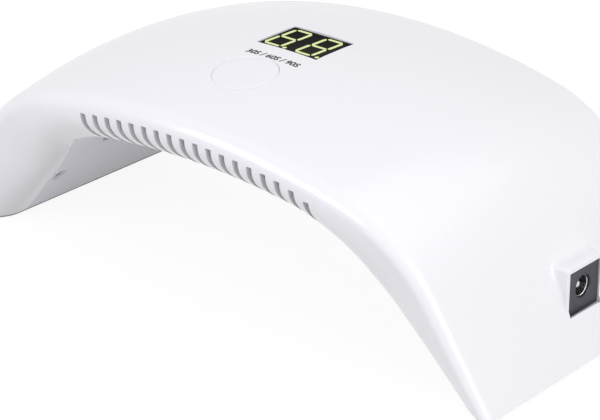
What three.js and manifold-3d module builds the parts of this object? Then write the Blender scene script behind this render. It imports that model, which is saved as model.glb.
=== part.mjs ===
// An arch-shaped ultraviolet curing lamp for gel, resin and glue. A hand or a small model goes into
// the tunnel under the arch. Millimetres, +X along the span, +Y from the front rim to the back rim,
// +Z up, with the origin on the table under the middle of the arch.
import * as THREE from "three";
import { mergeVertices } from "three/addons/utils/BufferGeometryUtils.js";
import Module from "manifold-3d";

// ---- driving dimensions ----
const OUTER_HALF_SPAN = 95; // outside of the foot
const INNER_HALF_SPAN = 81; // inside of the foot
const TUNNEL_HEIGHT = 43.5;
const ARCH_THICKNESS = 13; // from the tunnel's ceiling to the top of the front and back edges
const EDGE_HEIGHT = TUNNEL_HEIGHT + ARCH_THICKNESS;
const CROWN_RISE = 7.5; // how much higher the top is half way back
const TOP_HALF_DEPTH = 50;
const FOOT_HALF_DEPTH = 43;
const OUTER_CROWN_RADIUS = 218;
const OUTER_SHOULDER_RADIUS = 45;
const OUTER_LEG_ANGLE = THREE.MathUtils.degToRad(60);
const INNER_CROWN_RADIUS = 220;
const INNER_SHOULDER_RADIUS = 36;
const INNER_LEG_ANGLE = THREE.MathUtils.degToRad(47);

const SHELL_WALL = 2.2;
const COVER_WALL = 2;
const EDGE_ROUND = 3.8; // size of the rounding along the arch's front and back edges
const RIM_RECESS = 6.9; // how far the rim curves in from the front edge to the tunnel, at the crown
const LEG_RIM_RECESS = 12.5; // the same on the legs, where the rim runs smoothly into the tunnel's side
const LEG_RIM_LEAN = 1.2; // how far the rim on the legs leans back below its outer edge
const RIM_BLEND_START = 0.42; // shares of the arch between which the rim changes from one to the other
const RIM_BLEND_END = 0.72;
const LEG_RIM_SLOPE = { low: 0.3, high: 0.58, rise: 0.13 }; // shares of its recess and of its height
const RIM_LAND = 2.4; // flat strip at the rim's inner end
const GAP = 0.3; // clearance between separate pieces that don't share a flat face

const PAD_THICKNESS = 0.8;
const PAD_INSET = 0.8;

const VENT_COUNT = 18;
const VENT_PITCH = 4.5;
const VENT_MIDDLE_X = 4.4;
const VENT_WIDTH = 1.9;
const VENT_HEIGHT = 9.1;
const VENT_LIP = 0.6; // material left between a vent and the tunnel

const DISPLAY_WIDTH = 20.8;
const DISPLAY_DEPTH = 15.8;
const DISPLAY_Y = 0.7;
const DISPLAY_RECESS = 0.6;
const WINDOW_THICKNESS = 1;
const DISPLAY_BODY_HEIGHT = 7.2;

const BUTTON_DIAMETER = 17.2;
const BUTTON_Y = -23.2;
const BUTTON_TRAVEL = 0.6;
const BUTTON_WALL = 1.6;
const BUTTON_FLANGE = 1.2; // how far the flange under the case reaches past the button
const FLANGE_THICKNESS = 1;
const STEM_DIAMETER = 4;
const SWITCH_SIZE = 6;
const SWITCH_HEIGHT = 2.4;
const PLUNGER_DIAMETER = 3;
const PLUNGER_STICKOUT = 0.9;

const BOARD_THICKNESS = 1.6;
const BOARD_HALF_WIDTH = 31;
const BOARD_FRONT = -31;
const BOARD_BACK = 25;
const POST_DIAMETER = 5;
const POST_INSET = 3.5;

const JACK_WIDTH = 12.8;
const JACK_HEIGHT = 12.2;
const JACK_LENGTH = 11;
const JACK_Y = 4.7;
const JACK_BOTTOM = 12;
const JACK_STICKOUT = 0.8; // how far the socket's face stands out from the leg at its lower edge
const JACK_BORE_DIAMETER = 6.2;
const JACK_BORE_DEPTH = 9;
const JACK_BORE_RISE = 0.6; // the socket sits a little above the middle of its face
const JACK_PIN_DIAMETER = 2;
const LUG_LENGTH = 2;
const LUG_SPREAD = 2.5;
const BOSS_SIDE = 1;
const BOSS_TOP = 1.4;

const LED_DIAMETER = 5;
const LED_STICKOUT = 0.6;
const LED_BOARD_LIFT = 2.5; // from the cover's inner face to the boards that carry the LEDs
const LED_CEILING_PITCH = 18;
const LED_ROW_Y = 14;
const LED_SIDE_PITCH = 17;
const LED_LEG_POSITION = 36; // up the inside of the leg from the foot
const TOP_BOARD_MARGIN = 6; // from the outermost lights to the edge of their board
const SIDE_BOARD_MARGIN = 8;
const SIDE_BOARD_WIDTH = 11;
const RIB_THICKNESS = 2; // of the ribs that carry the board on the ceiling
const RIB_OFFSET = 3.5; // from a light's axis to such a rib
const LEG_RIB_THICKNESS = 1;
const SENSOR_DIAMETER = 3.2;
const SENSOR_Y = -27;
const SENSOR_LEG_POSITION = 19.2;
const SENSOR_LENGTH = 6;
const SENSOR_RECESS = 0.5;
const CAPACITOR = { diameter: 4.6, length: 9, x: -7.5, y: 9 };
const LEAD_DIAMETER = 1.2;
const LEAD_DEPTH_SHARE = 0.62; // where the leads lie between the cover and the outside
const JACK_LEAD_SHARE = 0.74; // where each lead's run along the arch starts, and where all of them end
const LED_LEAD_SHARE = 0.56;
const LEAD_END_SHARE = 0.42;
const LED_LEAD_Y = -15;
const CONNECTOR = { length: 5.5, width: 8, height: 3.5, inset: 1.5 };

const SCREW_X = 39;
const SCREW_Y = 33;
const SCREW_SHANK = 2.6;
const SCREW_HEAD = 4.6;
const SCREW_HEAD_HEIGHT = 1.2;
const SCREW_LENGTH = 9;
const SCREW_POST = 6.4;
const BOARD_SCREW_SHANK = 1.8;
const BOARD_SCREW_HEAD = 3.4;
const BOARD_SCREW_HEAD_HEIGHT = 1.1;

const ARCH_STEPS = 30; // facets along the arch
const ROUND_SIDES = 16;

// ---- materials ----
const plastic = (color, roughness = 0.35) =>
  new THREE.MeshStandardMaterial({ color, roughness, metalness: 0 });
const metal = (color) =>
  new THREE.MeshStandardMaterial({ color, roughness: 0.3, metalness: 1 });
const finishes = {
  shell: plastic(0xf5f4f7, 0.25),
  liner: plastic(0xe4e2ea, 0.3),
  button: plastic(0xf4f3f6, 0.25),
  black: plastic(0x17171b, 0.3),
  jack: plastic(0x2d2b38, 0.45),
  glass: plastic(0x0b0c0a, 0.1),
  board: plastic(0x1d5a3a, 0.5),
  whiteBoard: plastic(0xf0f0ee, 0.5),
  led: plastic(0xe9dfae, 0.2),
  rubber: plastic(0x8f8f97, 0.9),
  lead: plastic(0xb5182a, 0.5),
  steel: metal(0xb9bcc2),
  brass: metal(0xc9a24c),
};

// ---- joining and cutting ----
const wasm = await Module();
wasm.setup();

/** A closed three.js geometry as a solid that can be joined and cut. */
function toSolid(geometry) {
  const bare = geometry.clone();
  bare.deleteAttribute("normal");
  bare.deleteAttribute("uv");
  const merged = mergeVertices(bare, 1e-4);
  return new wasm.Manifold(
    new wasm.Mesh({
      numProp: 3,
      vertProperties: merged.attributes.position.array,
      triVerts: new Uint32Array(merged.index.array),
    }),
  );
}

function toGeometry(solid) {
  const made = solid.getMesh();
  return new THREE.BufferGeometry()
    .setAttribute("position", new THREE.BufferAttribute(made.vertProperties, 3))
    .setIndex(new THREE.BufferAttribute(made.triVerts, 1));
}

const join = (first, ...rest) => rest.reduce((sum, next) => sum.add(next), first);
const cut = (first, ...rest) => rest.reduce((sum, next) => sum.subtract(next), first);

/** A box from its low corner to its high corner. */
function box([x0, y0, z0], [x1, y1, z1]) {
  const geometry = new THREE.BoxGeometry(x1 - x0, y1 - y0, z1 - z0);
  return geometry.translate((x0 + x1) / 2, (y0 + y1) / 2, (z0 + z1) / 2);
}

/** An upright cylinder, standing on z0. */
function rod(x, y, z0, z1, diameter, sides = ROUND_SIDES) {
  const geometry = new THREE.CylinderGeometry(diameter / 2, diameter / 2, z1 - z0, sides);
  return geometry.rotateX(Math.PI / 2).translate(x, y, (z0 + z1) / 2);
}

// ---- the arch ----
/** Half of an arch in the XZ plane: a crown arc, a shoulder arc and a straight leg, all tangent. */
function archLine({ footX, crownZ, crownRadius, shoulderRadius, legAngle }) {
  const foot = new THREE.Vector2(footX, PAD_THICKNESS);
  const out = new THREE.Vector2(Math.sin(legAngle), Math.cos(legAngle));
  const up = new THREE.Vector2(-out.y, out.x);
  const crownCentre = new THREE.Vector2(0, crownZ - crownRadius);
  const start = foot.clone().addScaledVector(out, -shoulderRadius);
  const offset = start.clone().sub(crownCentre);
  const reach = crownRadius - shoulderRadius;
  const half = offset.dot(up);
  const legLength = -half + Math.sqrt(half * half - offset.lengthSq() + reach * reach);
  const shoulder = start.clone().addScaledVector(up, legLength);
  const turn = Math.atan2(shoulder.x, shoulder.y - crownCentre.y);
  const crownLength = crownRadius * turn;
  const shoulderLength = shoulderRadius * (legAngle - turn);
  const length = crownLength + shoulderLength + legLength;
  const round = (centre, radius, angle) =>
    new THREE.Vector2(radius * Math.sin(angle), radius * Math.cos(angle)).add(centre);
  /** The point a distance from the middle of the arch, towards the foot. */
  const at = (distance) => {
    if (distance < crownLength) return round(crownCentre, crownRadius, distance / crownRadius);
    const past = distance - crownLength;
    if (past < shoulderLength) return round(shoulder, shoulderRadius, turn + past / shoulderRadius);
    return foot.clone().addScaledVector(up, length - distance);
  };
  /** The height of the arch above a place on the floor. */
  const heightAt = (x) => {
    let low = 0;
    let high = length;
    for (let step = 0; step < 40; step++) {
      const middle = (low + high) / 2;
      if (at(middle).x < Math.abs(x)) low = middle;
      else high = middle;
    }
    return at(low).y;
  };
  /** How far out the leg is at a height. */
  const legXAt = (z) => footX - (z - PAD_THICKNESS) / Math.tan(legAngle);
  return { at, heightAt, legXAt, length };
}

const outerLine = archLine({
  footX: OUTER_HALF_SPAN,
  crownZ: EDGE_HEIGHT,
  crownRadius: OUTER_CROWN_RADIUS,
  shoulderRadius: OUTER_SHOULDER_RADIUS,
  legAngle: OUTER_LEG_ANGLE,
});
const innerLine = archLine({
  footX: INNER_HALF_SPAN,
  crownZ: TUNNEL_HEIGHT,
  crownRadius: INNER_CROWN_RADIUS,
  shoulderRadius: INNER_SHOULDER_RADIUS,
  legAngle: INNER_LEG_ANGLE,
});

const { lerp, smoothstep } = THREE.MathUtils;
const halfDepthAt = (z) =>
  lerp(FOOT_HALF_DEPTH, TOP_HALF_DEPTH, (z - PAD_THICKNESS) / (EDGE_HEIGHT - PAD_THICKNESS));

/** Everything a section needs at a share of the way from the left foot (-1) to the right foot (1). */
function stationAt(share) {
  const side = Math.sign(share) || 1;
  const outer = outerLine.at(Math.abs(share) * outerLine.length);
  const inner = innerLine.at(Math.abs(share) * innerLine.length);
  const across = outer.clone().sub(inner);
  const thickness = across.length();
  across.divideScalar(thickness);
  const blend = smoothstep(Math.abs(share), RIM_BLEND_START, RIM_BLEND_END);
  return {
    inner: new THREE.Vector2(inner.x * side, inner.y),
    across: new THREE.Vector2(across.x * side, across.y),
    thickness,
    halfDepth: halfDepthAt(outer.y),
    rise: CROWN_RISE * (1 - Math.abs(share) ** 2.5),
    blend,
    recess: lerp(RIM_RECESS, LEG_RIM_RECESS, blend),
  };
}

const bezier = (p0, p1, p2, p3, count) =>
  new THREE.CubicBezierCurve(...[p0, p1, p2, p3].map((p) => new THREE.Vector2(...p)))
    .getPoints(count)
    .map((p) => [p.x, p.y]);

/** Height of the outer surface above the inner line at depth y. */
const outerHeight = ({ thickness, halfDepth, rise }, y) => thickness + rise * (1 - (y / halfDepth) ** 2);

const mirrorDepth = (half) => [...half, ...half.slice().reverse().map(([y, w]) => [-y, w])];

/** The outside of the shell as [depth, height] pairs, from the front tunnel edge over the top. */
function outsideHalf(station) {
  const { thickness, halfDepth, recess, blend } = station;
  const roundStart = halfDepth - EDGE_ROUND;
  const edge = halfDepth - recess;
  const side = thickness - EDGE_ROUND;
  const lean = LEG_RIM_LEAN * blend;
  const rim = bezier(
    [-edge, 0],
    [lerp(-halfDepth + 0.8, -edge - recess * LEG_RIM_SLOPE.low, blend), side * 0.4 * (1 - blend)],
    [lerp(-halfDepth, -edge - recess * LEG_RIM_SLOPE.high, blend), side * lerp(0.7, LEG_RIM_SLOPE.rise, blend)],
    [-halfDepth + lean, side],
    6,
  );
  const corner = bezier(
    [-halfDepth + lean, side],
    [-halfDepth, thickness - EDGE_ROUND * 0.45],
    [-halfDepth + EDGE_ROUND * 0.45, outerHeight(station, halfDepth - EDGE_ROUND * 0.45)],
    [-roundStart, outerHeight(station, roundStart)],
    4,
  );
  const top = [0.8, 0.6, 0.4, 0.2].map((k) => [-roundStart * k, outerHeight(station, roundStart * k)]);
  return [...rim, ...corner.slice(1), ...top];
}

/** The case as if it were solid. */
const solidSection = (station) => mirrorDepth(outsideHalf(station));

function insideHalf(station) {
  const { thickness, halfDepth, recess, blend } = station;
  const innerEnd = halfDepth - recess - RIM_LAND;
  const cornerY = halfDepth - SHELL_WALL - EDGE_ROUND * 0.5;
  const lean = LEG_RIM_LEAN * blend;
  return [
    [-innerEnd, 0],
    [-innerEnd, 1.4],
    [-halfDepth + SHELL_WALL + lerp(0.9, recess * 0.5, blend), (thickness - EDGE_ROUND) * 0.5],
    [-halfDepth + SHELL_WALL + lean, thickness - EDGE_ROUND],
    [-cornerY, outerHeight(station, cornerY) - SHELL_WALL],
    ...[0.66, 0.33].map((k) => [-cornerY * k, outerHeight(station, cornerY * k) - SHELL_WALL]),
  ];
}

/** The shell's wall: over the outside, and back along the inside. */
const shellSection = (station) => [...solidSection(station), ...mirrorDepth(insideHalf(station)).reverse()];

/** The hollow between the shell's walls. */
const cavitySection = (station) => mirrorDepth(insideHalf(station));

const liningHalfDepth = (station) => station.halfDepth - station.recess - RIM_LAND - GAP;

function liningSection(station) {
  const y = liningHalfDepth(station);
  return [
    [-y, 0],
    [-y, COVER_WALL],
    [y, COVER_WALL],
    [y, 0],
  ];
}

/** Sweeps a section along the arch, from one foot to the other, with flat ends. */
function sweep(section) {
  const rings = [];
  const count = ARCH_STEPS;
  for (let i = 0; i <= count; i++) {
    const station = stationAt((2 * i) / count - 1);
    rings.push(
      section(station).map(([y, w]) => {
        const p = station.inner.clone().addScaledVector(station.across, w);
        return [p.x, y, p.y];
      }),
    );
  }
  const size = rings[0].length;
  const triangles = [];
  for (let i = 0; i < count; i++)
    for (let j = 0; j < size; j++) {
      const next = (j + 1) % size;
      const [a, b, c, d] = [i * size + j, i * size + next, (i + 1) * size + next, (i + 1) * size + j];
      triangles.push(a, c, b, a, d, c);
    }
  const outline = section(stationAt(-1)).map(([y, w]) => new THREE.Vector2(y, w));
  const last = count * size;
  for (const [a, b, c] of THREE.ShapeUtils.triangulateShape(outline, [])) {
    const turned = THREE.ShapeUtils.isClockWise(outline) ? [a, c, b] : [a, b, c];
    triangles.push(turned[0], turned[1], turned[2]);
    triangles.push(last + turned[0], last + turned[2], last + turned[1]);
  }
  const geometry = new THREE.BufferGeometry();
  geometry.setAttribute("position", new THREE.Float32BufferAttribute(rings.flat(2), 3));
  geometry.setIndex(triangles);
  return geometry;
}

// ---- levels and volumes shared by several pieces ----
const caseVolume = toSolid(sweep(solidSection));
const cavityVolume = toSolid(sweep(cavitySection));
const topAt = (y) => outerHeight(stationAt(0), y) + TUNNEL_HEIGHT;
const windowTop = topAt(DISPLAY_Y) - DISPLAY_RECESS;
const windowBottom = windowTop - WINDOW_THICKNESS;
const boardTop = windowBottom - DISPLAY_BODY_HEIGHT;
const boardBottom = boardTop - BOARD_THICKNESS;
const switchTop = boardTop + SWITCH_HEIGHT;
const plungerTop = switchTop + PLUNGER_STICKOUT;
const flangeTop = topAt(Math.abs(BUTTON_Y) + BUTTON_DIAMETER / 2 + BUTTON_FLANGE) - SHELL_WALL - 2 * GAP;
const flangeBottom = flangeTop - FLANGE_THICKNESS;
const ledBoardBottom = TUNNEL_HEIGHT + LED_BOARD_LIFT;
const jackMiddleZ = JACK_BOTTOM + JACK_HEIGHT / 2;
const jackFaceX = outerLine.legXAt(JACK_BOTTOM) + JACK_STICKOUT;
const jackBack = jackFaceX - JACK_LENGTH;
const postPlaces = [-1, 1].flatMap((side) =>
  [BOARD_FRONT + POST_INSET, BOARD_BACK - POST_INSET].map((y) => [side * (BOARD_HALF_WIDTH - POST_INSET), y]),
);
const screwPlaces = [-1, 1].flatMap((side) => [-1, 1].map((end) => [side * SCREW_X, end * SCREW_Y]));
const ceilingLeds = [-1, 0, 1].flatMap((column) =>
  [-1, 1].map((row) => [column * LED_CEILING_PITCH, row * LED_ROW_Y]),
);
const sideLedYs = [-1, 0, 1].map((row) => row * LED_SIDE_PITCH);

/** The frame of a place on the inside of a leg: local Z points from the tunnel into the case. */
function legFrame(side, position) {
  const place = innerLine.at(innerLine.length - position);
  return new THREE.Matrix4()
    .makeRotationY(side * INNER_LEG_ANGLE)
    .setPosition(side * place.x, 0, place.y);
}

// ---- outer pieces ----
function makeTopShell() {
  const wall = toSolid(sweep(shellSection));
  const bossHalf = JACK_WIDTH / 2 + GAP + BOSS_SIDE;
  const boss = cut(
    toSolid(
      box(
        [jackBack, JACK_Y - bossHalf, JACK_BOTTOM - GAP - BOSS_TOP],
        [jackFaceX + GAP, JACK_Y + bossHalf, JACK_BOTTOM + JACK_HEIGHT + GAP + BOSS_TOP],
      ),
    ),
    cavityVolume,
  );
  const posts = screwPlaces.map(([x, y]) =>
    toSolid(rod(x, y, screwPostBottom(x), topAt(0), SCREW_POST)).intersect(caseVolume),
  );
  const pilots = screwPlaces.map(([x, y]) =>
    toSolid(rod(x, y, screwPostBottom(x) - 1, screwHeadBottom(x) + SCREW_LENGTH + GAP, SCREW_SHANK + 2 * GAP)),
  );
  const jackPocket = toSolid(
    box(
      [jackBack - GAP, JACK_Y - JACK_WIDTH / 2 - GAP, JACK_BOTTOM - GAP],
      [jackFaceX + 1, JACK_Y + JACK_WIDTH / 2 + GAP, JACK_BOTTOM + JACK_HEIGHT + GAP],
    ),
  );
  const displayOpening = toSolid(
    box(
      [-DISPLAY_WIDTH / 2, DISPLAY_Y - DISPLAY_DEPTH / 2, boardTop],
      [DISPLAY_WIDTH / 2, DISPLAY_Y + DISPLAY_DEPTH / 2, topAt(0) + 1],
    ),
  );
  const buttonOpening = toSolid(
    rod(0, BUTTON_Y, boardTop, topAt(0) + 1, BUTTON_DIAMETER + 2 * GAP, 40),
  );
  return cut(join(wall, boss, ...posts), jackPocket, displayOpening, buttonOpening, ...pilots, ...makeVents());
}

/** One upright slot cutter for each vent, through the front and the back rim. */
function makeVents() {
  const vents = [];
  for (let i = 0; i < VENT_COUNT; i++) {
    const x = VENT_MIDDLE_X + (i - (VENT_COUNT - 1) / 2) * VENT_PITCH;
    const low = Math.min(innerLine.heightAt(x - VENT_WIDTH / 2), innerLine.heightAt(x + VENT_WIDTH / 2));
    const high = low + VENT_HEIGHT;
    const inner = halfDepthAt(outerLine.heightAt(x)) - RIM_RECESS - RIM_LAND - GAP;
    for (const side of [-1, 1]) {
      const ys = [side * inner, side * (TOP_HALF_DEPTH + 1)].sort((a, b) => a - b);
      vents.push(toSolid(box([x - VENT_WIDTH / 2, ys[0], low + VENT_LIP], [x + VENT_WIDTH / 2, ys[1], high])));
    }
  }
  return vents;
}

const screwHeadBottom = (x) => innerLine.heightAt(x) + 0.1;
const screwPostBottom = (x) => innerLine.heightAt(Math.abs(x) - SCREW_POST / 2) + COVER_WALL + 2 * GAP;

/** The tunnel's liner, with holes for the lights, sensors and screws and ribs for the boards. */
function makeInnerCover() {
  const sheet = toSolid(sweep(liningSection));
  const posts = postPlaces.map(([x, y]) =>
    toSolid(rod(x, y, innerLine.heightAt(Math.abs(x) + POST_DIAMETER / 2) + 0.9, boardBottom, POST_DIAMETER)),
  );
  const ribX = LED_CEILING_PITCH + RIB_OFFSET;
  const ribHalf = RIB_THICKNESS / 2;
  const ribBottom = innerLine.heightAt(ribX + ribHalf) + COVER_WALL / 2;
  const ribs = [-1, 1].map((side) =>
    toSolid(
      box(
        [side * ribX - ribHalf, -LED_ROW_Y - 4, ribBottom],
        [side * ribX + ribHalf, LED_ROW_Y + 4, ledBoardBottom],
      ),
    ),
  );
  const legRibX = (SIDE_BOARD_WIDTH - LEG_RIB_THICKNESS) / 2 - LEG_RIB_THICKNESS / 2;
  const legRibLength = LED_SIDE_PITCH + SIDE_BOARD_MARGIN - 2;
  const legRibs = [-1, 1].flatMap((side) =>
    [-1, 1].map((edge) =>
      toSolid(
        box(
          [edge * legRibX - LEG_RIB_THICKNESS / 2, -legRibLength, COVER_WALL / 2],
          [edge * legRibX + LEG_RIB_THICKNESS / 2, legRibLength, LED_BOARD_LIFT - GAP],
        ).applyMatrix4(legFrame(side, LED_LEG_POSITION)),
      ),
    ),
  );
  const hole = (diameter) => rod(0, 0, -4, LED_BOARD_LIFT + 1, diameter);
  const ceilingHoles = ceilingLeds.map(([x, y]) =>
    toSolid(hole(LED_DIAMETER + 2 * GAP).translate(x, y, TUNNEL_HEIGHT)),
  );
  const legHoles = [-1, 1].flatMap((side) => [
    ...sideLedYs.map((y) =>
      toSolid(hole(LED_DIAMETER + 2 * GAP).translate(0, y, 0).applyMatrix4(legFrame(side, LED_LEG_POSITION))),
    ),
    toSolid(
      hole(SENSOR_DIAMETER + 2 * GAP)
        .translate(0, SENSOR_Y, 0)
        .applyMatrix4(legFrame(side, SENSOR_LEG_POSITION)),
    ),
  ]);
  const screwHoles = screwPlaces.flatMap(([x, y]) => [
    toSolid(rod(x, y, TUNNEL_HEIGHT - 12, screwHeadBottom(x) + SCREW_HEAD_HEIGHT, SCREW_HEAD + 2 * GAP)),
    toSolid(rod(x, y, TUNNEL_HEIGHT - 12, TUNNEL_HEIGHT + 6, SCREW_SHANK + 2 * GAP)),
  ]);
  const boardPilots = postPlaces.map(([x, y]) =>
    toSolid(rod(x, y, boardBottom - 4, boardBottom + 1, BOARD_SCREW_SHANK + 2 * GAP, 12)),
  );
  return cut(
    join(sheet, ...posts, ...ribs, ...legRibs),
    ...ceilingHoles,
    ...legHoles,
    ...screwHoles,
    ...boardPilots,
  );
}

/** A round cup that follows the case's crown, with a flange behind the case and a stem. */
function makeButton() {
  const top = toSolid(rod(0, BUTTON_Y, flangeBottom, topAt(0) + 1, BUTTON_DIAMETER, 40)).intersect(caseVolume);
  const flange = toSolid(
    rod(0, BUTTON_Y, flangeBottom, flangeTop, BUTTON_DIAMETER + 2 * BUTTON_FLANGE, 40),
  );
  const inside = toSolid(
    rod(0, BUTTON_Y, flangeBottom - 1, topAt(0), BUTTON_DIAMETER - 2 * BUTTON_WALL, 32),
  ).intersect(cavityVolume);
  const stem = toSolid(rod(0, BUTTON_Y, plungerTop, topAt(BUTTON_Y) - SHELL_WALL / 2, STEM_DIAMETER));
  return join(cut(join(top, flange), inside), stem);
}

/** A rubber strip under a leg: a pad that follows the foot's outline and a plug inside the leg. */
function makeFootStrip(side) {
  const foot = stationAt(1);
  const shrink = [1 - PAD_INSET / foot.halfDepth, 1 - (2 * PAD_INSET) / foot.thickness];
  const outline = new THREE.Shape(
    solidSection(foot).map(
      ([y, w]) => new THREE.Vector2(side * (INNER_HALF_SPAN + PAD_INSET + w * shrink[1]), y * shrink[0]),
    ),
  );
  const pad = new THREE.ExtrudeGeometry(outline, { depth: PAD_THICKNESS, bevelEnabled: false });
  const plugXs = [
    side * (INNER_HALF_SPAN + COVER_WALL + 2 * GAP),
    side * (OUTER_HALF_SPAN - SHELL_WALL - 5 * GAP),
  ].sort((a, b) => a - b);
  const plugHalf = liningHalfDepth(foot);
  const plug = box([plugXs[0], -plugHalf, PAD_THICKNESS / 2], [plugXs[1], plugHalf, PAD_THICKNESS + 2]);
  return join(toSolid(pad), toSolid(plug));
}

// ---- electronics ----
function makeJackBody() {
  const shape = toSolid(
    box(
      [jackBack, JACK_Y - JACK_WIDTH / 2, JACK_BOTTOM],
      [jackFaceX, JACK_Y + JACK_WIDTH / 2, JACK_BOTTOM + JACK_HEIGHT],
    ),
  );
  return cut(shape, toSolid(alongX(jackFaceX - JACK_BORE_DEPTH, jackFaceX + 1, JACK_BORE_DIAMETER, 24)));
}

/** A round bar on the socket's axis, from x0 to x1. */
function alongX(x0, x1, diameter, sides) {
  const geometry = new THREE.CylinderGeometry(diameter / 2, diameter / 2, x1 - x0, sides);
  return geometry.rotateZ(Math.PI / 2).translate((x0 + x1) / 2, JACK_Y, jackMiddleZ + JACK_BORE_RISE);
}

/** One light: a round package with a domed lens, its lens down in the tunnel. */
function ledGeometry() {
  const radius = LED_DIAMETER / 2;
  const lens = [0, 0.4, 0.75, 1].map((k) => {
    const angle = (k * Math.PI) / 2;
    return new THREE.Vector2(radius * Math.sin(angle), -LED_STICKOUT * Math.cos(angle));
  });
  const top = LED_BOARD_LIFT - GAP;
  const profile = [...lens, new THREE.Vector2(radius, top), new THREE.Vector2(0, top)];
  profile[0].x = 0;
  return new THREE.LatheGeometry(profile, 14).rotateX(Math.PI / 2);
}

/** A pan-head screw that points up from its head, or down with its head on top. */
function makeScrew({ x, y, headZ, length, shank, head, headHeight, pointsUp }) {
  const way = pointsUp ? 1 : -1;
  const levels = [headZ, headZ + way * headHeight, headZ + way * (headHeight + length)];
  const span = (a, b) => [Math.min(a, b), Math.max(a, b)];
  const cap = toSolid(rod(x, y, ...span(levels[0], levels[1]), head));
  const slot = toSolid(
    box([x - head / 2, y - 0.3, headZ - 0.4], [x + head / 2, y + 0.3, headZ + 0.4]),
  );
  return join(cut(cap, slot), toSolid(rod(x, y, ...span(levels[1] - way * 0.2, levels[2]), shank, 10)));
}

/** A round lead that lies in the hollow of a leg, from its start to a connector under the board. */
function makeLead({ start, end, side, fromShare, bends }) {
  const between = Array.from({ length: bends }, (_, i) => {
    const station = stationAt(side * lerp(fromShare, LEAD_END_SHARE, i / (bends - 1)));
    const place = station.inner.clone().addScaledVector(station.across, station.thickness * LEAD_DEPTH_SHARE);
    return new THREE.Vector3(place.x, start.y, place.y);
  });
  const route = new THREE.CatmullRomCurve3([start, ...between, end], false, "centripetal");
  const section = new THREE.Shape(
    Array.from({ length: 8 }, (_, i) => {
      const angle = (i * Math.PI) / 4;
      return new THREE.Vector2(Math.cos(angle), Math.sin(angle)).multiplyScalar(LEAD_DIAMETER / 2);
    }),
  );
  return new THREE.ExtrudeGeometry(section, { steps: 22, bevelEnabled: false, extrudePath: route });
}

function makeBoard() {
  const sheet = toSolid(
    box([-BOARD_HALF_WIDTH, BOARD_FRONT, boardBottom], [BOARD_HALF_WIDTH, BOARD_BACK, boardTop]),
  );
  const holes = postPlaces.map(([x, y]) =>
    toSolid(rod(x, y, boardBottom - 1, boardTop + 1, BOARD_SCREW_SHANK + 2 * GAP, 12)),
  );
  return cut(sheet, ...holes);
}

// ---- the assembly ----
const lamp = new THREE.Group();

function add(name, shape, material, parent = lamp) {
  const geometry = shape.isBufferGeometry ? shape : toGeometry(shape);
  geometry.computeVertexNormals();
  const mesh = new THREE.Mesh(geometry, material);
  mesh.name = name;
  parent.add(mesh);
  return mesh;
}

add("top_shell", makeTopShell(), finishes.shell);
add("inner_cover", makeInnerCover(), finishes.liner);
add("button_cap", makeButton(), finishes.button);
add("foot_strip_left", makeFootStrip(-1), finishes.rubber);
add("foot_strip_right", makeFootStrip(1), finishes.rubber);

add("main_board", makeBoard(), finishes.board);
const displayHalf = [DISPLAY_WIDTH / 2 - GAP, DISPLAY_DEPTH / 2 - GAP];
add(
  "display_window",
  box(
    [-displayHalf[0], DISPLAY_Y - displayHalf[1], windowBottom],
    [displayHalf[0], DISPLAY_Y + displayHalf[1], windowTop],
  ),
  finishes.glass,
);
add(
  "display_module",
  box(
    [-displayHalf[0], DISPLAY_Y - displayHalf[1], boardTop],
    [displayHalf[0], DISPLAY_Y + displayHalf[1], windowBottom],
  ),
  finishes.black,
);
const switchBody = toSolid(
  box(
    [-SWITCH_SIZE / 2, BUTTON_Y - SWITCH_SIZE / 2, boardTop],
    [SWITCH_SIZE / 2, BUTTON_Y + SWITCH_SIZE / 2, switchTop],
  ),
);
const plungerBottom = boardTop + SWITCH_HEIGHT / 2;
add(
  "tact_switch",
  cut(
    switchBody,
    toSolid(rod(0, BUTTON_Y, plungerBottom - BUTTON_TRAVEL - GAP, switchTop + 1, PLUNGER_DIAMETER + 2 * GAP)),
  ),
  finishes.black,
);
add("tact_plunger", rod(0, BUTTON_Y, plungerBottom, plungerTop, PLUNGER_DIAMETER), finishes.brass);

// Parts that hang from the board's underside, each from its low corner, with its height.
const underside = {
  controller_ic: { at: [-12, -8], size: [10, 10, 1.8], material: finishes.black },
  power_transistor: { at: [6, -10], size: [6.5, 9, 2.3], material: finishes.black },
  inductor: { at: [5, 4], size: [8, 8, 4], material: finishes.jack },
  power_connector: {
    at: [BOARD_HALF_WIDTH - CONNECTOR.inset - CONNECTOR.length, JACK_Y - CONNECTOR.width / 2],
    size: [CONNECTOR.length, CONNECTOR.width, CONNECTOR.height],
    material: finishes.whiteBoard,
  },
};
for (const side of [-1, 1]) {
  const name = side < 0 ? "led_connector_left" : "led_connector_right";
  const x = side * (BOARD_HALF_WIDTH - CONNECTOR.inset - CONNECTOR.length / 2) - CONNECTOR.length / 2;
  underside[name] = {
    at: [x, LED_LEAD_Y - CONNECTOR.width / 2],
    size: [CONNECTOR.length, CONNECTOR.width, CONNECTOR.height],
    material: finishes.whiteBoard,
  };
}
for (const [name, { at: [x, y], size, material }] of Object.entries(underside))
  add(name, box([x, y, boardBottom - size[2]], [x + size[0], y + size[1], boardBottom]), material);

const capacitorRadius = CAPACITOR.diameter / 2;
const capacitor = new THREE.CylinderGeometry(capacitorRadius, capacitorRadius, CAPACITOR.length, ROUND_SIDES)
  .rotateZ(Math.PI / 2)
  .translate(CAPACITOR.x, CAPACITOR.y, boardBottom - capacitorRadius - GAP);
add("capacitor", capacitor, finishes.black);

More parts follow.
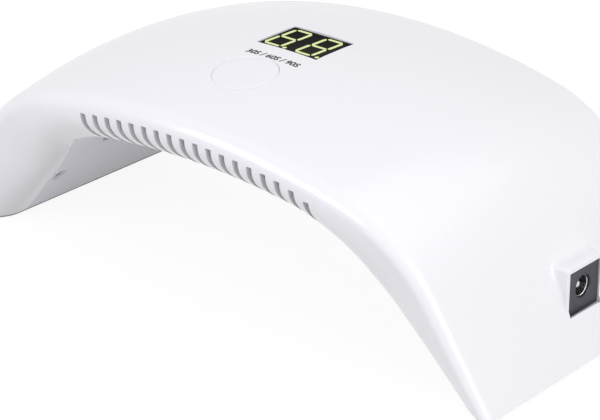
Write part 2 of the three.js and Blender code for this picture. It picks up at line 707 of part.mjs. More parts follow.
add("jack_body", makeJackBody(), finishes.jack);
const boreBottom = jackFaceX - JACK_BORE_DEPTH;
add("jack_pin", alongX(boreBottom, jackFaceX - 1.5, JACK_PIN_DIAMETER, 12), finishes.steel);
const lugX = jackBack - LUG_LENGTH;
const poles = { positive: -1, negative: 1 };
for (const [pole, way] of Object.entries(poles)) {
  const y = JACK_Y + way * LUG_SPREAD;
  add(
    "jack_lug_" + pole,
    box([lugX, y - 0.9, jackMiddleZ - 0.3], [jackBack, y + 0.9, jackMiddleZ + 0.3]),
    finishes.brass,
  );
  const connectorX = BOARD_HALF_WIDTH - CONNECTOR.inset + GAP;
  const start = new THREE.Vector3(lugX - 2 * GAP, y, jackMiddleZ);
  const end = new THREE.Vector3(connectorX, y, boardBottom - CONNECTOR.height / 2);
  const lead = makeLead({ start, end, side: 1, fromShare: JACK_LEAD_SHARE, bends: 5 });
  add("lead_" + pole, lead, way < 0 ? finishes.lead : finishes.black);
}

// Lights: one board on the ceiling and one in each leg.
const ceilingBoard = box(
  [-LED_CEILING_PITCH - TOP_BOARD_MARGIN, -LED_ROW_Y - TOP_BOARD_MARGIN, ledBoardBottom],
  [LED_CEILING_PITCH + TOP_BOARD_MARGIN, LED_ROW_Y + TOP_BOARD_MARGIN, ledBoardBottom + BOARD_THICKNESS],
);
add("led_board_top", ceilingBoard, finishes.whiteBoard);
let ledNumber = 0;
function addLed(parent, x, y) {
  ledNumber += 1;
  const led = add("led_" + String(ledNumber).padStart(2, "0"), ledGeometry(), finishes.led, parent);
  led.position.set(x, y, 0);
}
const ceiling = new THREE.Group();
ceiling.position.z = TUNNEL_HEIGHT;
lamp.add(ceiling);
for (const [x, y] of ceilingLeds) addLed(ceiling, x, y);

for (const side of [-1, 1]) {
  const word = side < 0 ? "left" : "right";
  const leg = new THREE.Group();
  leg.applyMatrix4(legFrame(side, LED_LEG_POSITION));
  lamp.add(leg);
  const halfLength = LED_SIDE_PITCH + SIDE_BOARD_MARGIN;
  const halfWidth = SIDE_BOARD_WIDTH / 2;
  add(
    "led_board_" + word,
    box([-halfWidth, -halfLength, LED_BOARD_LIFT], [halfWidth, halfLength, LED_BOARD_LIFT + BOARD_THICKNESS]),
    finishes.whiteBoard,
    leg,
  );
  for (const y of sideLedYs) addLed(leg, 0, y);

  const low = new THREE.Group();
  low.applyMatrix4(legFrame(side, SENSOR_LEG_POSITION));
  lamp.add(low);
  add(
    side < 0 ? "hand_sensor_emitter" : "hand_sensor_receiver",
    rod(0, SENSOR_Y, SENSOR_RECESS, SENSOR_RECESS + SENSOR_LENGTH, SENSOR_DIAMETER),
    finishes.glass,
    low,
  );

  const leadZ = LED_BOARD_LIFT + BOARD_THICKNESS + LEAD_DIAMETER / 2 + GAP;
  const start = new THREE.Vector3(0, LED_LEAD_Y, leadZ).applyMatrix4(leg.matrix);
  const end = new THREE.Vector3(
    side * (BOARD_HALF_WIDTH - CONNECTOR.inset + GAP),
    LED_LEAD_Y,
    boardBottom - CONNECTOR.height / 2,
  );
  const lead = makeLead({ start, end, side, fromShare: LED_LEAD_SHARE, bends: 3 });
  add("lead_led_" + word, lead, finishes.black);
}

screwPlaces.forEach(([x, y], i) => {
  const screw = makeScrew({
    x,
    y,
    headZ: screwHeadBottom(x),
    length: SCREW_LENGTH - SCREW_HEAD_HEIGHT,
    shank: SCREW_SHANK,
    head: SCREW_HEAD,
    headHeight: SCREW_HEAD_HEIGHT,
    pointsUp: true,
  });
  add("case_screw_" + (i + 1), screw, finishes.steel);
});
postPlaces.forEach(([x, y], i) => {
  const screw = makeScrew({
    x,
    y,
    headZ: boardTop + BOARD_SCREW_HEAD_HEIGHT,
    length: BOARD_THICKNESS + 3,
    shank: BOARD_SCREW_SHANK,
    head: BOARD_SCREW_HEAD,
    headHeight: BOARD_SCREW_HEAD_HEIGHT,
    pointsUp: false,
  });
  add("board_screw_" + (i + 1), screw, finishes.steel);
});

export default lamp;
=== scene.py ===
"""The finished look of an arch-shaped ultraviolet curing lamp.

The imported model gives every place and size. Each class below is one sub-assembly of the lamp: it
holds its sizes in millimetres, builds its fine meshes and dresses them in its finishes.
"""

from __future__ import annotations

import logging
import math
from collections.abc import Callable, Iterator, Sequence
from contextlib import contextmanager
from dataclasses import dataclass, field
from enum import Enum

import bmesh
import bpy
from mathutils import Matrix, Vector


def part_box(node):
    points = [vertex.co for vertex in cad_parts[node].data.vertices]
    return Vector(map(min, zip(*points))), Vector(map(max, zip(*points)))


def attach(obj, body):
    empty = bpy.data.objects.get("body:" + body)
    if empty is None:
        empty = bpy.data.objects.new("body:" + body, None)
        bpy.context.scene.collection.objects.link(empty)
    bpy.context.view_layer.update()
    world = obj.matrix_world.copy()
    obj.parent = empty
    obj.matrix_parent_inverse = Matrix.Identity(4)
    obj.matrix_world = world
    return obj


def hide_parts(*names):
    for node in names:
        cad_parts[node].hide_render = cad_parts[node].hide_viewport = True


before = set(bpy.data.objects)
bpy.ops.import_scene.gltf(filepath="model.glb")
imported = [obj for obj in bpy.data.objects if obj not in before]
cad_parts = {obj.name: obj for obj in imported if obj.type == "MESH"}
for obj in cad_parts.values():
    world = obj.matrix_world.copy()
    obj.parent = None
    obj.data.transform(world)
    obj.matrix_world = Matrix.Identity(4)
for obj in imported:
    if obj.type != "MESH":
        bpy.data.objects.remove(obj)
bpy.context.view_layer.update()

logging.basicConfig(level=logging.INFO, format="%(message)s")
log = logging.getLogger("curing_lamp")

MM = 0.001
Point2 = tuple[float, float]
Colour = tuple[float, float, float]


MERGE_DISTANCE = 0.0005 * MM
FOOT_BEYOND = 70 * MM  # both feet lie further out than this


class Body(Enum):
    """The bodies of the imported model."""

    CASE = "case"
    BUTTON = "button"
    PLUNGER = "plunger"


class Joining(Enum):
    """How one solid is combined with another."""

    CUT = "DIFFERENCE"
    WELD = "UNION"


# ---------------------------------------------------------------------------------------------
# The workbench: selecting, shaping and joining meshes
# ---------------------------------------------------------------------------------------------


def lerp(start: float, end: float, share: float) -> float:
    """The value at a share of the way from start to end."""
    return start + (end - start) * share


def smoothstep(value: float, low: float, high: float) -> float:
    """0 below low, 1 above high, and a smooth change between them."""
    share = max(0.0, min(1.0, (value - low) / (high - low)))
    return share * share * (3 - 2 * share)


def pick(*pieces: bpy.types.Object) -> None:
    """Selects only these pieces and makes the first one active."""
    bpy.ops.object.select_all(action="DESELECT")
    for piece in pieces:
        piece.select_set(True)
    bpy.context.view_layer.objects.active = pieces[0]


@contextmanager
def shaping(piece: bpy.types.Object) -> Iterator[None]:
    """Edit mode on one piece, with everything in it selected."""
    pick(piece)
    bpy.ops.object.mode_set(mode="EDIT")
    bpy.ops.mesh.select_mode(type="VERT")
    bpy.ops.mesh.select_all(action="SELECT")
    yield
    bpy.ops.object.mode_set(mode="OBJECT")


def select_faces(test: Callable[[Vector, Vector], bool]) -> int:
    """Selects the faces of the mesh in edit mode that pass a test.

    Args:
        test: Takes a face's centre and its normal.

    Returns:
        How many faces are selected.
    """
    mesh = bpy.context.edit_object.data
    bpy.ops.mesh.select_mode(type="FACE")
    bpy.ops.mesh.select_all(action="DESELECT")
    edited = bmesh.from_edit_mesh(mesh)
    count = 0
    for face in edited.faces:
        if test(face.calc_center_median(), face.normal):
            face.select_set(True)
            count += 1
    bmesh.update_edit_mesh(mesh)
    return count


def select_edges(test: Callable[[Vector, Vector], bool]) -> int:
    """Selects the edges of the mesh in edit mode that pass a test.

    Args:
        test: Takes the places of an edge's two ends.

    Returns:
        How many edges are selected.
    """
    mesh = bpy.context.edit_object.data
    bpy.ops.mesh.select_mode(type="EDGE")
    bpy.ops.mesh.select_all(action="DESELECT")
    edited = bmesh.from_edit_mesh(mesh)
    count = 0
    for edge in edited.edges:
        if test(edge.verts[0].co, edge.verts[1].co):
            edge.select_set(True)
            count += 1
    bmesh.update_edit_mesh(mesh)
    return count


def close_up(piece: bpy.types.Object) -> None:
    """Merges doubled vertices and turns every face outwards."""
    with shaping(piece):
        bpy.ops.mesh.remove_doubles(threshold=MERGE_DISTANCE)
        bpy.ops.mesh.select_all(action="SELECT")
        bpy.ops.mesh.normals_make_consistent(inside=False)


def settle(piece: bpy.types.Object, place: Matrix | None = None) -> bpy.types.Object:
    """Moves a piece's place into its mesh, so that its object sits at the origin.

    Args:
        piece: The piece.
        place: Where the piece goes from where it is, or None.

    Returns:
        The piece.
    """
    if place is not None:
        piece.matrix_world = place @ piece.matrix_world
    bpy.context.view_layer.update()
    pick(piece)
    bpy.ops.object.transform_apply(location=True, rotation=True, scale=True)
    return piece


def block(low: Sequence[float], high: Sequence[float], rounding: float = 0.0) -> bpy.types.Object:
    """A block between two corners, with its edges rounded.

    Args:
        low: Lowest corner in millimetres.
        high: Highest corner in millimetres.
        rounding: Radius of the edges in millimetres, or 0 for a tool's sharp edges.

    Returns:
        The block.
    """
    centre = [(a + b) / 2 * MM for a, b in zip(low, high)]
    bpy.ops.mesh.primitive_cube_add(size=1.0, location=centre)
    made = bpy.context.object
    made.dimensions = [(b - a) * MM for a, b in zip(low, high)]
    settle(made)
    if rounding:
        with shaping(made):
            bpy.ops.mesh.bevel(offset=rounding * MM, segments=3, affect="EDGES")
    return made


def turned(profile: Sequence[Point2], steps: int = 64) -> bpy.types.Object:
    """A solid of revolution about Z: one point is extruded along a profile, which is then spun.

    Args:
        profile: Radius and height of each corner in millimetres, from axis to axis or closed.
        steps: Facets round the axis.

    Returns:
        The solid.
    """
    bpy.ops.mesh.primitive_plane_add(size=MM)
    made = bpy.context.object
    with shaping(made):
        bpy.ops.mesh.merge(type="CENTER")
        bpy.ops.transform.translate(value=(profile[0][0] * MM, 0, profile[0][1] * MM))
        for (r0, z0), (r1, z1) in zip(profile, profile[1:]):
            step = ((r1 - r0) * MM, 0, (z1 - z0) * MM)
            bpy.ops.mesh.extrude_region_move(TRANSFORM_OT_translate={"value": step})
        bpy.ops.mesh.select_all(action="SELECT")
        bpy.ops.mesh.spin(steps=steps, angle=math.tau, center=(0, 0, 0), axis=(0, 0, 1))
    close_up(made)
    return made


def swept(columns: int, rows: int, place: Callable[[int, int], Vector]) -> bpy.types.Object:
    """A tube of quads laid along a path, open at both ends.

    Args:
        columns: Steps along the path.
        rows: Steps round the section, the last of which meets the first.
        place: Gives the place in millimetres of a column and a row.

    Returns:
        The tube.
    """
    bpy.ops.mesh.primitive_grid_add(x_subdivisions=columns, y_subdivisions=rows, size=2.0)
    made = bpy.context.object
    for vertex in made.data.vertices:
        column = round((vertex.co.x + 1) / 2 * columns)
        row = round((vertex.co.y + 1) / 2 * rows)
        vertex.co = place(column, row) * MM
    with shaping(made):
        bpy.ops.mesh.remove_doubles(threshold=MERGE_DISTANCE)
    return made


def close_feet(piece: bpy.types.Object) -> None:
    """Closes both ends of a tube that was swept along the arch with a face of its own."""
    for side in (-1, 1):
        with shaping(piece):
            select_edges(
                lambda a, b, side=side: min(a.x * side, b.x * side) > FOOT_BEYOND
                and max(a.z, b.z) < (ARCH.foot_z + 0.001) * MM
            )
            bpy.ops.mesh.edge_face_add()
    close_up(piece)


def combine(piece: bpy.types.Object, tools: Sequence[bpy.types.Object], how: Joining) -> None:
    """Cuts tools out of a piece, or welds them to it. The tools are used up."""
    tool = tools[0]
    if len(tools) > 1:
        pick(*tools)
        bpy.ops.object.join()
    pick(piece)
    carve = piece.modifiers.new("Combine", "BOOLEAN")
    carve.object = tool
    carve.operation = how.value
    carve.solver = "EXACT"
    bpy.ops.object.modifier_apply(modifier=carve.name)
    bpy.data.objects.remove(tool)


def copied(piece: bpy.types.Object, place: Matrix) -> bpy.types.Object:
    """A copy of a piece with a mesh of its own, moved to a place given in metres."""
    made = piece.copy()
    made.data = piece.data.copy()
    bpy.context.scene.collection.objects.link(made)
    return settle(made, place)


def crease(piece: bpy.types.Object, degrees: float = 32.0) -> None:
    """Smooth shading, broken at edges sharper than an angle."""
    pick(piece)
    bpy.ops.object.shade_smooth_by_angle(angle=math.radians(degrees))


# ---------------------------------------------------------------------------------------------
# The arch's form
# ---------------------------------------------------------------------------------------------


@dataclass
class ArchLine:
    """Half of an arch seen from the front: a crown arc, a shoulder arc and a straight leg."""

    foot_x: float
    crown_z: float
    crown_radius: float
    shoulder_radius: float
    leg_angle: float
    foot_z: float = 0.8
    length: float = field(init=False)

    def __post_init__(self) -> None:
        """Works out where the arcs meet each other and the leg."""
        self._foot = Vector((self.foot_x, self.foot_z))
        out = Vector((math.sin(self.leg_angle), math.cos(self.leg_angle)))
        self._up = Vector((-out.y, out.x))
        self._crown = Vector((0.0, self.crown_z - self.crown_radius))
        start = self._foot - out * self.shoulder_radius
        offset = start - self._crown
        reach = self.crown_radius - self.shoulder_radius
        half = offset.dot(self._up)
        leg = -half + math.sqrt(half * half - offset.length_squared + reach * reach)
        self._shoulder = start + self._up * leg
        self._turn = math.atan2(self._shoulder.x, self._shoulder.y - self._crown.y)
        self._crown_length = self.crown_radius * self._turn
        self._shoulder_length = self.shoulder_radius * (self.leg_angle - self._turn)
        self.length = self._crown_length + self._shoulder_length + leg

    def at(self, distance: float) -> Vector:
        """The point a distance from the middle of the arch, towards the foot."""
        if distance < self._crown_length:
            angle = distance / self.crown_radius
            return self._crown + Vector((math.sin(angle), math.cos(angle))) * self.crown_radius
        past = distance - self._crown_length
        if past < self._shoulder_length:
            angle = self._turn + past / self.shoulder_radius
            return self._shoulder + Vector((math.sin(angle), math.cos(angle))) * self.shoulder_radius
        return self._foot + self._up * (self.length - distance)

    def height_at(self, x: float) -> float:
        """The height of the arch above a place on the floor."""
        low, high = 0.0, self.length
        for _ in range(40):
            middle = (low + high) / 2
            low, high = (middle, high) if self.at(middle).x < abs(x) else (low, middle)
        return self.at(low).y


@dataclass
class Station:
    """One place along the arch, with the sizes of the section there."""

    inner: Vector
    across: Vector
    thickness: float
    half_depth: float
    rise: float
    blend: float  # 0 where the rim is the crown's, 1 where it is the legs'
    recess: float
    lean: float

    def height(self, y: float) -> float:
        """Height of the outer surface above the inner line at depth y."""
        return self.thickness + self.rise * (1 - (y / self.half_depth) ** 2)

    def place(self, y: float, height: float) -> Vector:
        """The point at a depth and a height above the inner line."""
        spot = self.inner + self.across * height
        return Vector((spot.x, y, spot.y))


@dataclass
class ArchForm:
    """The sizes of the arch in millimetres, and the surfaces that other pieces follow."""

    outer_half_span: float = 95.0
    inner_half_span: float = 81.0
    tunnel_height: float = 43.5
    edge_height: float = 56.5
    crown_rise: float = 7.5
    top_half_depth: float = 50.0
    foot_half_depth: float = 43.0
    foot_z: float = 0.8
    edge_round: float = 3.8
    rim_recess: float = 6.9
    leg_rim_recess: float = 12.5
    leg_rim_lean: float = 1.2
    rim_blend: tuple[float, float] = (0.42, 0.72)
    rim_land: float = 2.4
    shell_wall: float = 2.2
    cover_wall: float = 2.0
    gap: float = 0.3
    inner_leg_angle: float = math.radians(47)

    def __post_init__(self) -> None:
        """Draws the outer and the inner line."""
        self.outer = ArchLine(self.outer_half_span, self.edge_height, 218.0, 45.0, math.radians(60))
        self.inner = ArchLine(self.inner_half_span, self.tunnel_height, 220.0, 36.0, self.inner_leg_angle)

    def half_depth_at(self, z: float) -> float:
        """Half of the arch's depth at a height of its outer line."""
        share = (z - self.foot_z) / (self.edge_height - self.foot_z)
        return self.foot_half_depth + (self.top_half_depth - self.foot_half_depth) * share

    def station(self, share: float) -> Station:
        """The section at a share of the way from the left foot (-1) to the right foot (1)."""
        side = -1.0 if share < 0 else 1.0
        outer = self.outer.at(abs(share) * self.outer.length)
        inner = self.inner.at(abs(share) * self.inner.length)
        across = outer - inner
        thickness = across.length
        across /= thickness
        blend = smoothstep(abs(share), *self.rim_blend)
        return Station(
            inner=Vector((inner.x * side, inner.y)),
            across=Vector((across.x * side, across.y)),
            thickness=thickness,
            half_depth=self.half_depth_at(outer.y),
            rise=self.crown_rise * (1 - abs(share) ** 2.5),
            blend=blend,
            recess=lerp(self.rim_recess, self.leg_rim_recess, blend),
            lean=self.leg_rim_lean * blend,
        )

    def surface(self, share: float, y: float) -> Vector:
        """A point of the case's outer surface."""
        station = self.station(share)
        return station.place(y, station.height(y))

    def top_z(self, x: float, y: float) -> float:
        """Height of the case's outer surface above a place on the floor."""
        low, high = 0.0, 1.0
        for _ in range(30):
            middle = (low + high) / 2
            low, high = (middle, high) if self.surface(middle, y).x < abs(x) else (low, middle)
        return self.surface(low, y).z

    def side_x(self, y: float, z: float) -> float:
        """How far out the right leg's outer surface is at a depth and a height."""
        low, high = 0.3, 1.0
        for _ in range(30):
            middle = (low + high) / 2
            low, high = (middle, high) if self.surface(middle, y).z > z else (low, middle)
        return self.surface(low, y).x

    def leg_frame(self, side: int, position: float, y: float = 0.0) -> Matrix:
        """A frame on the inside of a leg, in metres, whose Z points from the tunnel into the case.

        Args:
            side: -1 for the left leg, 1 for the right leg.
            position: Millimetres up the leg from the foot.
            y: Depth in millimetres.

        Returns:
            The frame.
        """
        spot = self.inner.at(self.inner.length - position)
        turn = Matrix.Rotation(side * self.inner_leg_angle, 4, "Y")
        return Matrix.Translation(Vector((side * spot.x, y, spot.y)) * MM) @ turn


ARCH = ArchForm()


# ---------------------------------------------------------------------------------------------
# Finishes
# ---------------------------------------------------------------------------------------------


class Weave:
    """Adds and links the nodes of one material or of one node group."""

    def __init__(self, tree: bpy.types.NodeTree) -> None:
        """Starts from an empty tree."""
        self.tree = tree
        tree.nodes.clear()

    def add(self, kind: str, **values: object) -> bpy.types.Node:
        """Adds a node.

        Args:
            kind: The node's type, without the ShaderNode in front.
            values: Properties of the node, and values of inputs by their names with spaces as _.

        Returns:
            The node.
        """
        node = self.tree.nodes.new(kind if kind.startswith("Node") else "ShaderNode" + kind)
        for name, value in values.items():
            if hasattr(node, name):
                setattr(node, name, value)
            else:
                node.inputs[name.replace("_", " ")].default_value = value
        return node

    def link(self, source: bpy.types.NodeSocket, target: bpy.types.NodeSocket) -> None:
        """Links an output to an input."""
        self.tree.links.new(source, target)


class Effect(Enum):
    """Surface effects that more than one finish uses."""

    GRAIN = "Moulding grain"
    HANDLING = "Handling marks"
    DRIFT = "Colour drift"


def _group(effect: Effect, inputs: dict[str, float], outputs: Sequence[str]) -> tuple[Weave, ...]:
    """An empty node group with a vector input, named number inputs and number outputs."""
    tree = bpy.data.node_groups.new(effect.value, "ShaderNodeTree")
    weave = Weave(tree)
    tree.interface.new_socket("Place", in_out="INPUT", socket_type="NodeSocketVector")
    for name, value in inputs.items():
        tree.interface.new_socket(name, in_out="INPUT", socket_type="NodeSocketFloat").default_value = value
    for name in outputs:
        tree.interface.new_socket(name, in_out="OUTPUT", socket_type="NodeSocketFloat")
    return weave, weave.add("NodeGroupInput"), weave.add("NodeGroupOutput")


def grain_group() -> bpy.types.NodeTree:
    """Fine texture of a moulding: rounded cells over a softer ripple."""
    weave, start, end = _group(Effect.GRAIN, {"Scale": 900.0, "Ripple": 0.4}, ["Height"])
    cells = weave.add("TexVoronoi", feature="SMOOTH_F1", Smoothness=0.8)
    ripple = weave.add("TexNoise", Detail=3.0, Roughness=0.6)
    slower = weave.add("Math", operation="MULTIPLY")
    slower.inputs[1].default_value = 0.21
    mixed = weave.add("Mix", data_type="FLOAT")
    weave.link(start.outputs["Place"], cells.inputs["Vector"])
    weave.link(start.outputs["Place"], ripple.inputs["Vector"])
    weave.link(start.outputs["Scale"], cells.inputs["Scale"])
    weave.link(start.outputs["Scale"], slower.inputs[0])
    weave.link(slower.outputs[0], ripple.inputs["Scale"])
    weave.link(start.outputs["Ripple"], mixed.inputs[0])
    weave.link(cells.outputs["Distance"], mixed.inputs[2])
    weave.link(ripple.outputs[0], mixed.inputs[3])
    weave.link(mixed.outputs[0], end.inputs["Height"])
    return weave.tree


def handling_group() -> bpy.types.NodeTree:
    """Where a surface was wiped and touched: long faint strokes broken up by smears."""
    weave, start, end = _group(Effect.HANDLING, {"Scale": 60.0}, ["Mask"])
    stretch = weave.add("Mapping", vector_type="POINT")
    stretch.inputs["Rotation"].default_value = (0.0, 0.0, 0.6)
    stretch.inputs["Scale"].default_value = (0.12, 1.0, 0.35)
    strokes = weave.add("TexNoise", Detail=6.0, Roughness=0.7)
    smears = weave.add("TexNoise", Detail=2.0, Roughness=0.5)
    narrow = weave.add("MapRange")
    for name, value in {"From Min": 0.46, "From Max": 0.72}.items():
        narrow.inputs[name].default_value = value
    both = weave.add("Math", operation="MULTIPLY", use_clamp=True)
    weave.link(start.outputs["Place"], stretch.inputs["Vector"])
    weave.link(stretch.outputs["Vector"], strokes.inputs["Vector"])
    weave.link(start.outputs["Place"], smears.inputs["Vector"])
    weave.link(start.outputs["Scale"], strokes.inputs["Scale"])
    weave.link(start.outputs["Scale"], smears.inputs["Scale"])
    weave.link(strokes.outputs[0], narrow.inputs["Value"])
    weave.link(narrow.outputs[0], both.inputs[0])
    weave.link(smears.outputs[0], both.inputs[1])
    weave.link(both.outputs[0], end.inputs["Mask"])
    return weave.tree


def drift_group() -> bpy.types.NodeTree:
    """Slow change of a moulding's colour along its flow, with sparse specks."""
    weave, start, end = _group(Effect.DRIFT, {"Scale": 14.0, "Speckle": 0.15}, ["Mask"])
    cloud = weave.add("TexNoise", Detail=2.0, Roughness=0.45, Distortion=0.6)
    specks = weave.add("TexNoise", Detail=1.0, Roughness=0.5)
    finer = weave.add("Math", operation="MULTIPLY")
    finer.inputs[1].default_value = 60.0
    rare = weave.add("MapRange")
    for name, value in {"From Min": 0.62, "From Max": 0.74}.items():
        rare.inputs[name].default_value = value
    weighed = weave.add("Math", operation="MULTIPLY")
    total = weave.add("Math", operation="ADD", use_clamp=True)
    weave.link(start.outputs["Place"], cloud.inputs["Vector"])
    weave.link(start.outputs["Place"], specks.inputs["Vector"])
    weave.link(start.outputs["Scale"], cloud.inputs["Scale"])
    weave.link(start.outputs["Scale"], finer.inputs[0])
    weave.link(finer.outputs[0], specks.inputs["Scale"])
    weave.link(specks.outputs[0], rare.inputs["Value"])
    weave.link(rare.outputs[0], weighed.inputs[0])
    weave.link(start.outputs["Speckle"], weighed.inputs[1])
    weave.link(cloud.outputs[0], total.inputs[0])
    weave.link(weighed.outputs[0], total.inputs[1])
    weave.link(total.outputs[0], end.inputs["Mask"])
    return weave.tree


EFFECTS: dict[Effect, Callable[[], bpy.types.NodeTree]] = {
    Effect.GRAIN: grain_group,
    Effect.HANDLING: handling_group,
    Effect.DRIFT: drift_group,
}


@dataclass(frozen=True)
class Finish:
    """A moulded surface: its colour drifts a little, its gloss is broken by handling marks.

    Lengths are in metres, and scales are repeats in a metre.
    """

    name: str
    colour: Colour
    roughness: float
    slot: str
    shade: float = 0.96  # how dark the darker places are
    drift_scale: float = 14.0
    speckle: float = 0.15
    wear: float = 0.06  # how much rougher the marks are
    grain_scale: float = 900.0
    grain_depth: float = 0.00001
    ripple: float = 0.4
    metallic: float = 0.0
    coat: float = 0.0
    refraction: float = 1.5

    def material(self) -> bpy.types.Material:
        """The finish's material, made when it is first asked for."""
        made = bpy.data.materials.get(self.name)
        if made is None:
            made = bpy.data.materials.new(self.name)
            made.use_nodes = True
            self.build(Weave(made.node_tree))
        return made

    def effect(
        self, weave: Weave, effect: Effect, place: bpy.types.NodeSocket, **values: float
    ) -> bpy.types.Node:
        """Places one of the shared effects in a material.

        Args:
            weave: The material's nodes.
            effect: Which effect.
            place: Where its coordinates come from.
            values: The effect's own values.

        Returns:
            The group's node.
        """
        node = weave.add("Group")
        node.node_tree = bpy.data.node_groups.get(effect.value) or EFFECTS[effect]()
        for name, value in values.items():
            node.inputs[name].default_value = value
        weave.link(place, node.inputs["Place"])
        return node

    def base(self, weave: Weave) -> tuple[bpy.types.Node, bpy.types.NodeSocket]:
        """The Principled shader with its plain values, joined to the output, and coordinates."""
        shader = weave.add("BsdfPrincipled", Metallic=self.metallic, Coat_Weight=self.coat)
        shader.inputs["IOR"].default_value = self.refraction
        shader.inputs["Coat Roughness"].default_value = 0.08
        output = weave.add("OutputMaterial")
        weave.link(shader.outputs[0], output.inputs["Surface"])
        return shader, weave.add("TexCoord").outputs["Object"]

    def colour_between(
        self, weave: Weave, mask: bpy.types.NodeSocket, low: Colour, high: Colour
    ) -> bpy.types.NodeSocket:
        """A colour that goes from one to the other as a mask goes from 0 to 1."""
        mix = weave.add("Mix", data_type="RGBA")
        mix.inputs[6].default_value = (*low, 1.0)
        mix.inputs[7].default_value = (*high, 1.0)
        weave.link(mask, mix.inputs[0])
        return mix.outputs[2]

    def rough(
        self, weave: Weave, mask: bpy.types.NodeSocket, low: float, high: float
    ) -> bpy.types.NodeSocket:
        """A roughness that goes from low to high as a mask goes from 0 to 1."""
        spread = weave.add("MapRange")
        spread.inputs["To Min"].default_value = low
        spread.inputs["To Max"].default_value = high
        weave.link(mask, spread.inputs["Value"])
        return spread.outputs[0]

    def raise_up(
        self, weave: Weave, height: bpy.types.NodeSocket, shader: bpy.types.Node, depth: float
    ) -> None:
        """Gives a shader a bumpy normal from a height."""
        bump = weave.add("Bump", Strength=0.6, Distance=depth)
        weave.link(height, bump.inputs["Height"])
        weave.link(bump.outputs[0], shader.inputs["Normal"])

    def build(self, weave: Weave) -> None:
        """Builds the finish's nodes."""
        shader, place = self.base(weave)
        drift = self.effect(weave, Effect.DRIFT, place, Scale=self.drift_scale, Speckle=self.speckle)
        marks = self.effect(weave, Effect.HANDLING, place, Scale=self.drift_scale * 5)
        grain = self.effect(weave, Effect.GRAIN, place, Scale=self.grain_scale, Ripple=self.ripple)
        darker = tuple(part * self.shade for part in self.colour)
        weave.link(
            self.colour_between(weave, drift.outputs["Mask"], self.colour, darker),
            shader.inputs["Base Color"],
        )
        weave.link(
            self.rough(weave, marks.outputs["Mask"], self.roughness, self.roughness + self.wear),
            shader.inputs["Roughness"],
        )
        self.raise_up(weave, grain.outputs["Height"], shader, self.grain_depth)

    def dress(self, piece: bpy.types.Object) -> bpy.types.Object:
        """Puts the finish on a piece, over whatever it had."""
        material = self.material()
        if piece.material_slots:
            for holder in piece.material_slots:
                holder.material = material
        else:
            piece.data.materials.append(material)
        return piece


@dataclass(frozen=True)
class MetalFinish(Finish):
    """Drawn or plated metal: fine parallel lines, with tarnish where the drift is high."""

    tarnish: Colour = (0.25, 0.2, 0.14)
    line_scale: float = 1600.0

    def build(self, weave: Weave) -> None:
        """Builds the metal's nodes."""
        shader, place = self.base(weave)
        drift = self.effect(weave, Effect.DRIFT, place, Scale=self.drift_scale * 8, Speckle=self.speckle)
        along = weave.add("Mapping")
        along.inputs["Scale"].default_value = (0.05, 1.0, 1.0)
        lines = weave.add("TexNoise", Scale=self.line_scale, Detail=4.0)
        weave.link(place, along.inputs["Vector"])
        weave.link(along.outputs["Vector"], lines.inputs["Vector"])
        stained = self.rough(weave, drift.outputs["Mask"], -0.3, 0.5)
        weave.link(
            self.colour_between(weave, stained, self.colour, self.tarnish), shader.inputs["Base Color"]
        )
        weave.link(
            self.rough(weave, lines.outputs[0], self.roughness, self.roughness + self.wear),
            shader.inputs["Roughness"],
        )
        self.raise_up(weave, lines.outputs[0], shader, self.grain_depth)


@dataclass(frozen=True)
class BoardFinish(Finish):
    """Solder mask over copper: a maze of tracks, and round pads that show through it."""

    track: Colour = (0.05, 0.24, 0.12)
    pad: Colour = (0.62, 0.5, 0.28)
    track_scale: float = 420.0

    def build(self, weave: Weave) -> None:
        """Builds the board's nodes."""
        shader, place = self.base(weave)
        tracks = weave.add("TexBrick", Scale=self.track_scale, Mortar_Size=0.09, Mortar_Smooth=0.4)
        tracks.offset = 0.35
        pads = weave.add("TexVoronoi", feature="F1", Scale=self.track_scale * 0.6, Randomness=0.35)
        grain = self.effect(weave, Effect.GRAIN, place, Scale=self.grain_scale, Ripple=self.ripple)
        weave.link(place, tracks.inputs["Vector"])
        weave.link(place, pads.inputs["Vector"])
        masked = self.colour_between(weave, tracks.outputs["Fac"], self.colour, self.track)
        round_pad = weave.add("MapRange")
        for name, value in {"From Min": 0.2, "From Max": 0.16}.items():
            round_pad.inputs[name].default_value = value
        weave.link(pads.outputs["Distance"], round_pad.inputs["Value"])
        tinned = weave.add("Mix", data_type="RGBA")
        tinned.inputs[7].default_value = (*self.pad, 1.0)
        weave.link(round_pad.outputs[0], tinned.inputs[0])
        weave.link(masked, tinned.inputs[6])
        weave.link(tinned.outputs[2], shader.inputs["Base Color"])
        weave.link(
            self.rough(weave, round_pad.outputs[0], self.roughness, self.roughness * 0.6),
            shader.inputs["Roughness"],
        )
        stepped = weave.add("Mix", data_type="FLOAT")
        stepped.inputs[0].default_value = 0.5
        weave.link(grain.outputs["Height"], stepped.inputs[2])
        weave.link(tracks.outputs["Fac"], stepped.inputs[3])
        self.raise_up(weave, stepped.outputs[0], shader, self.grain_depth)


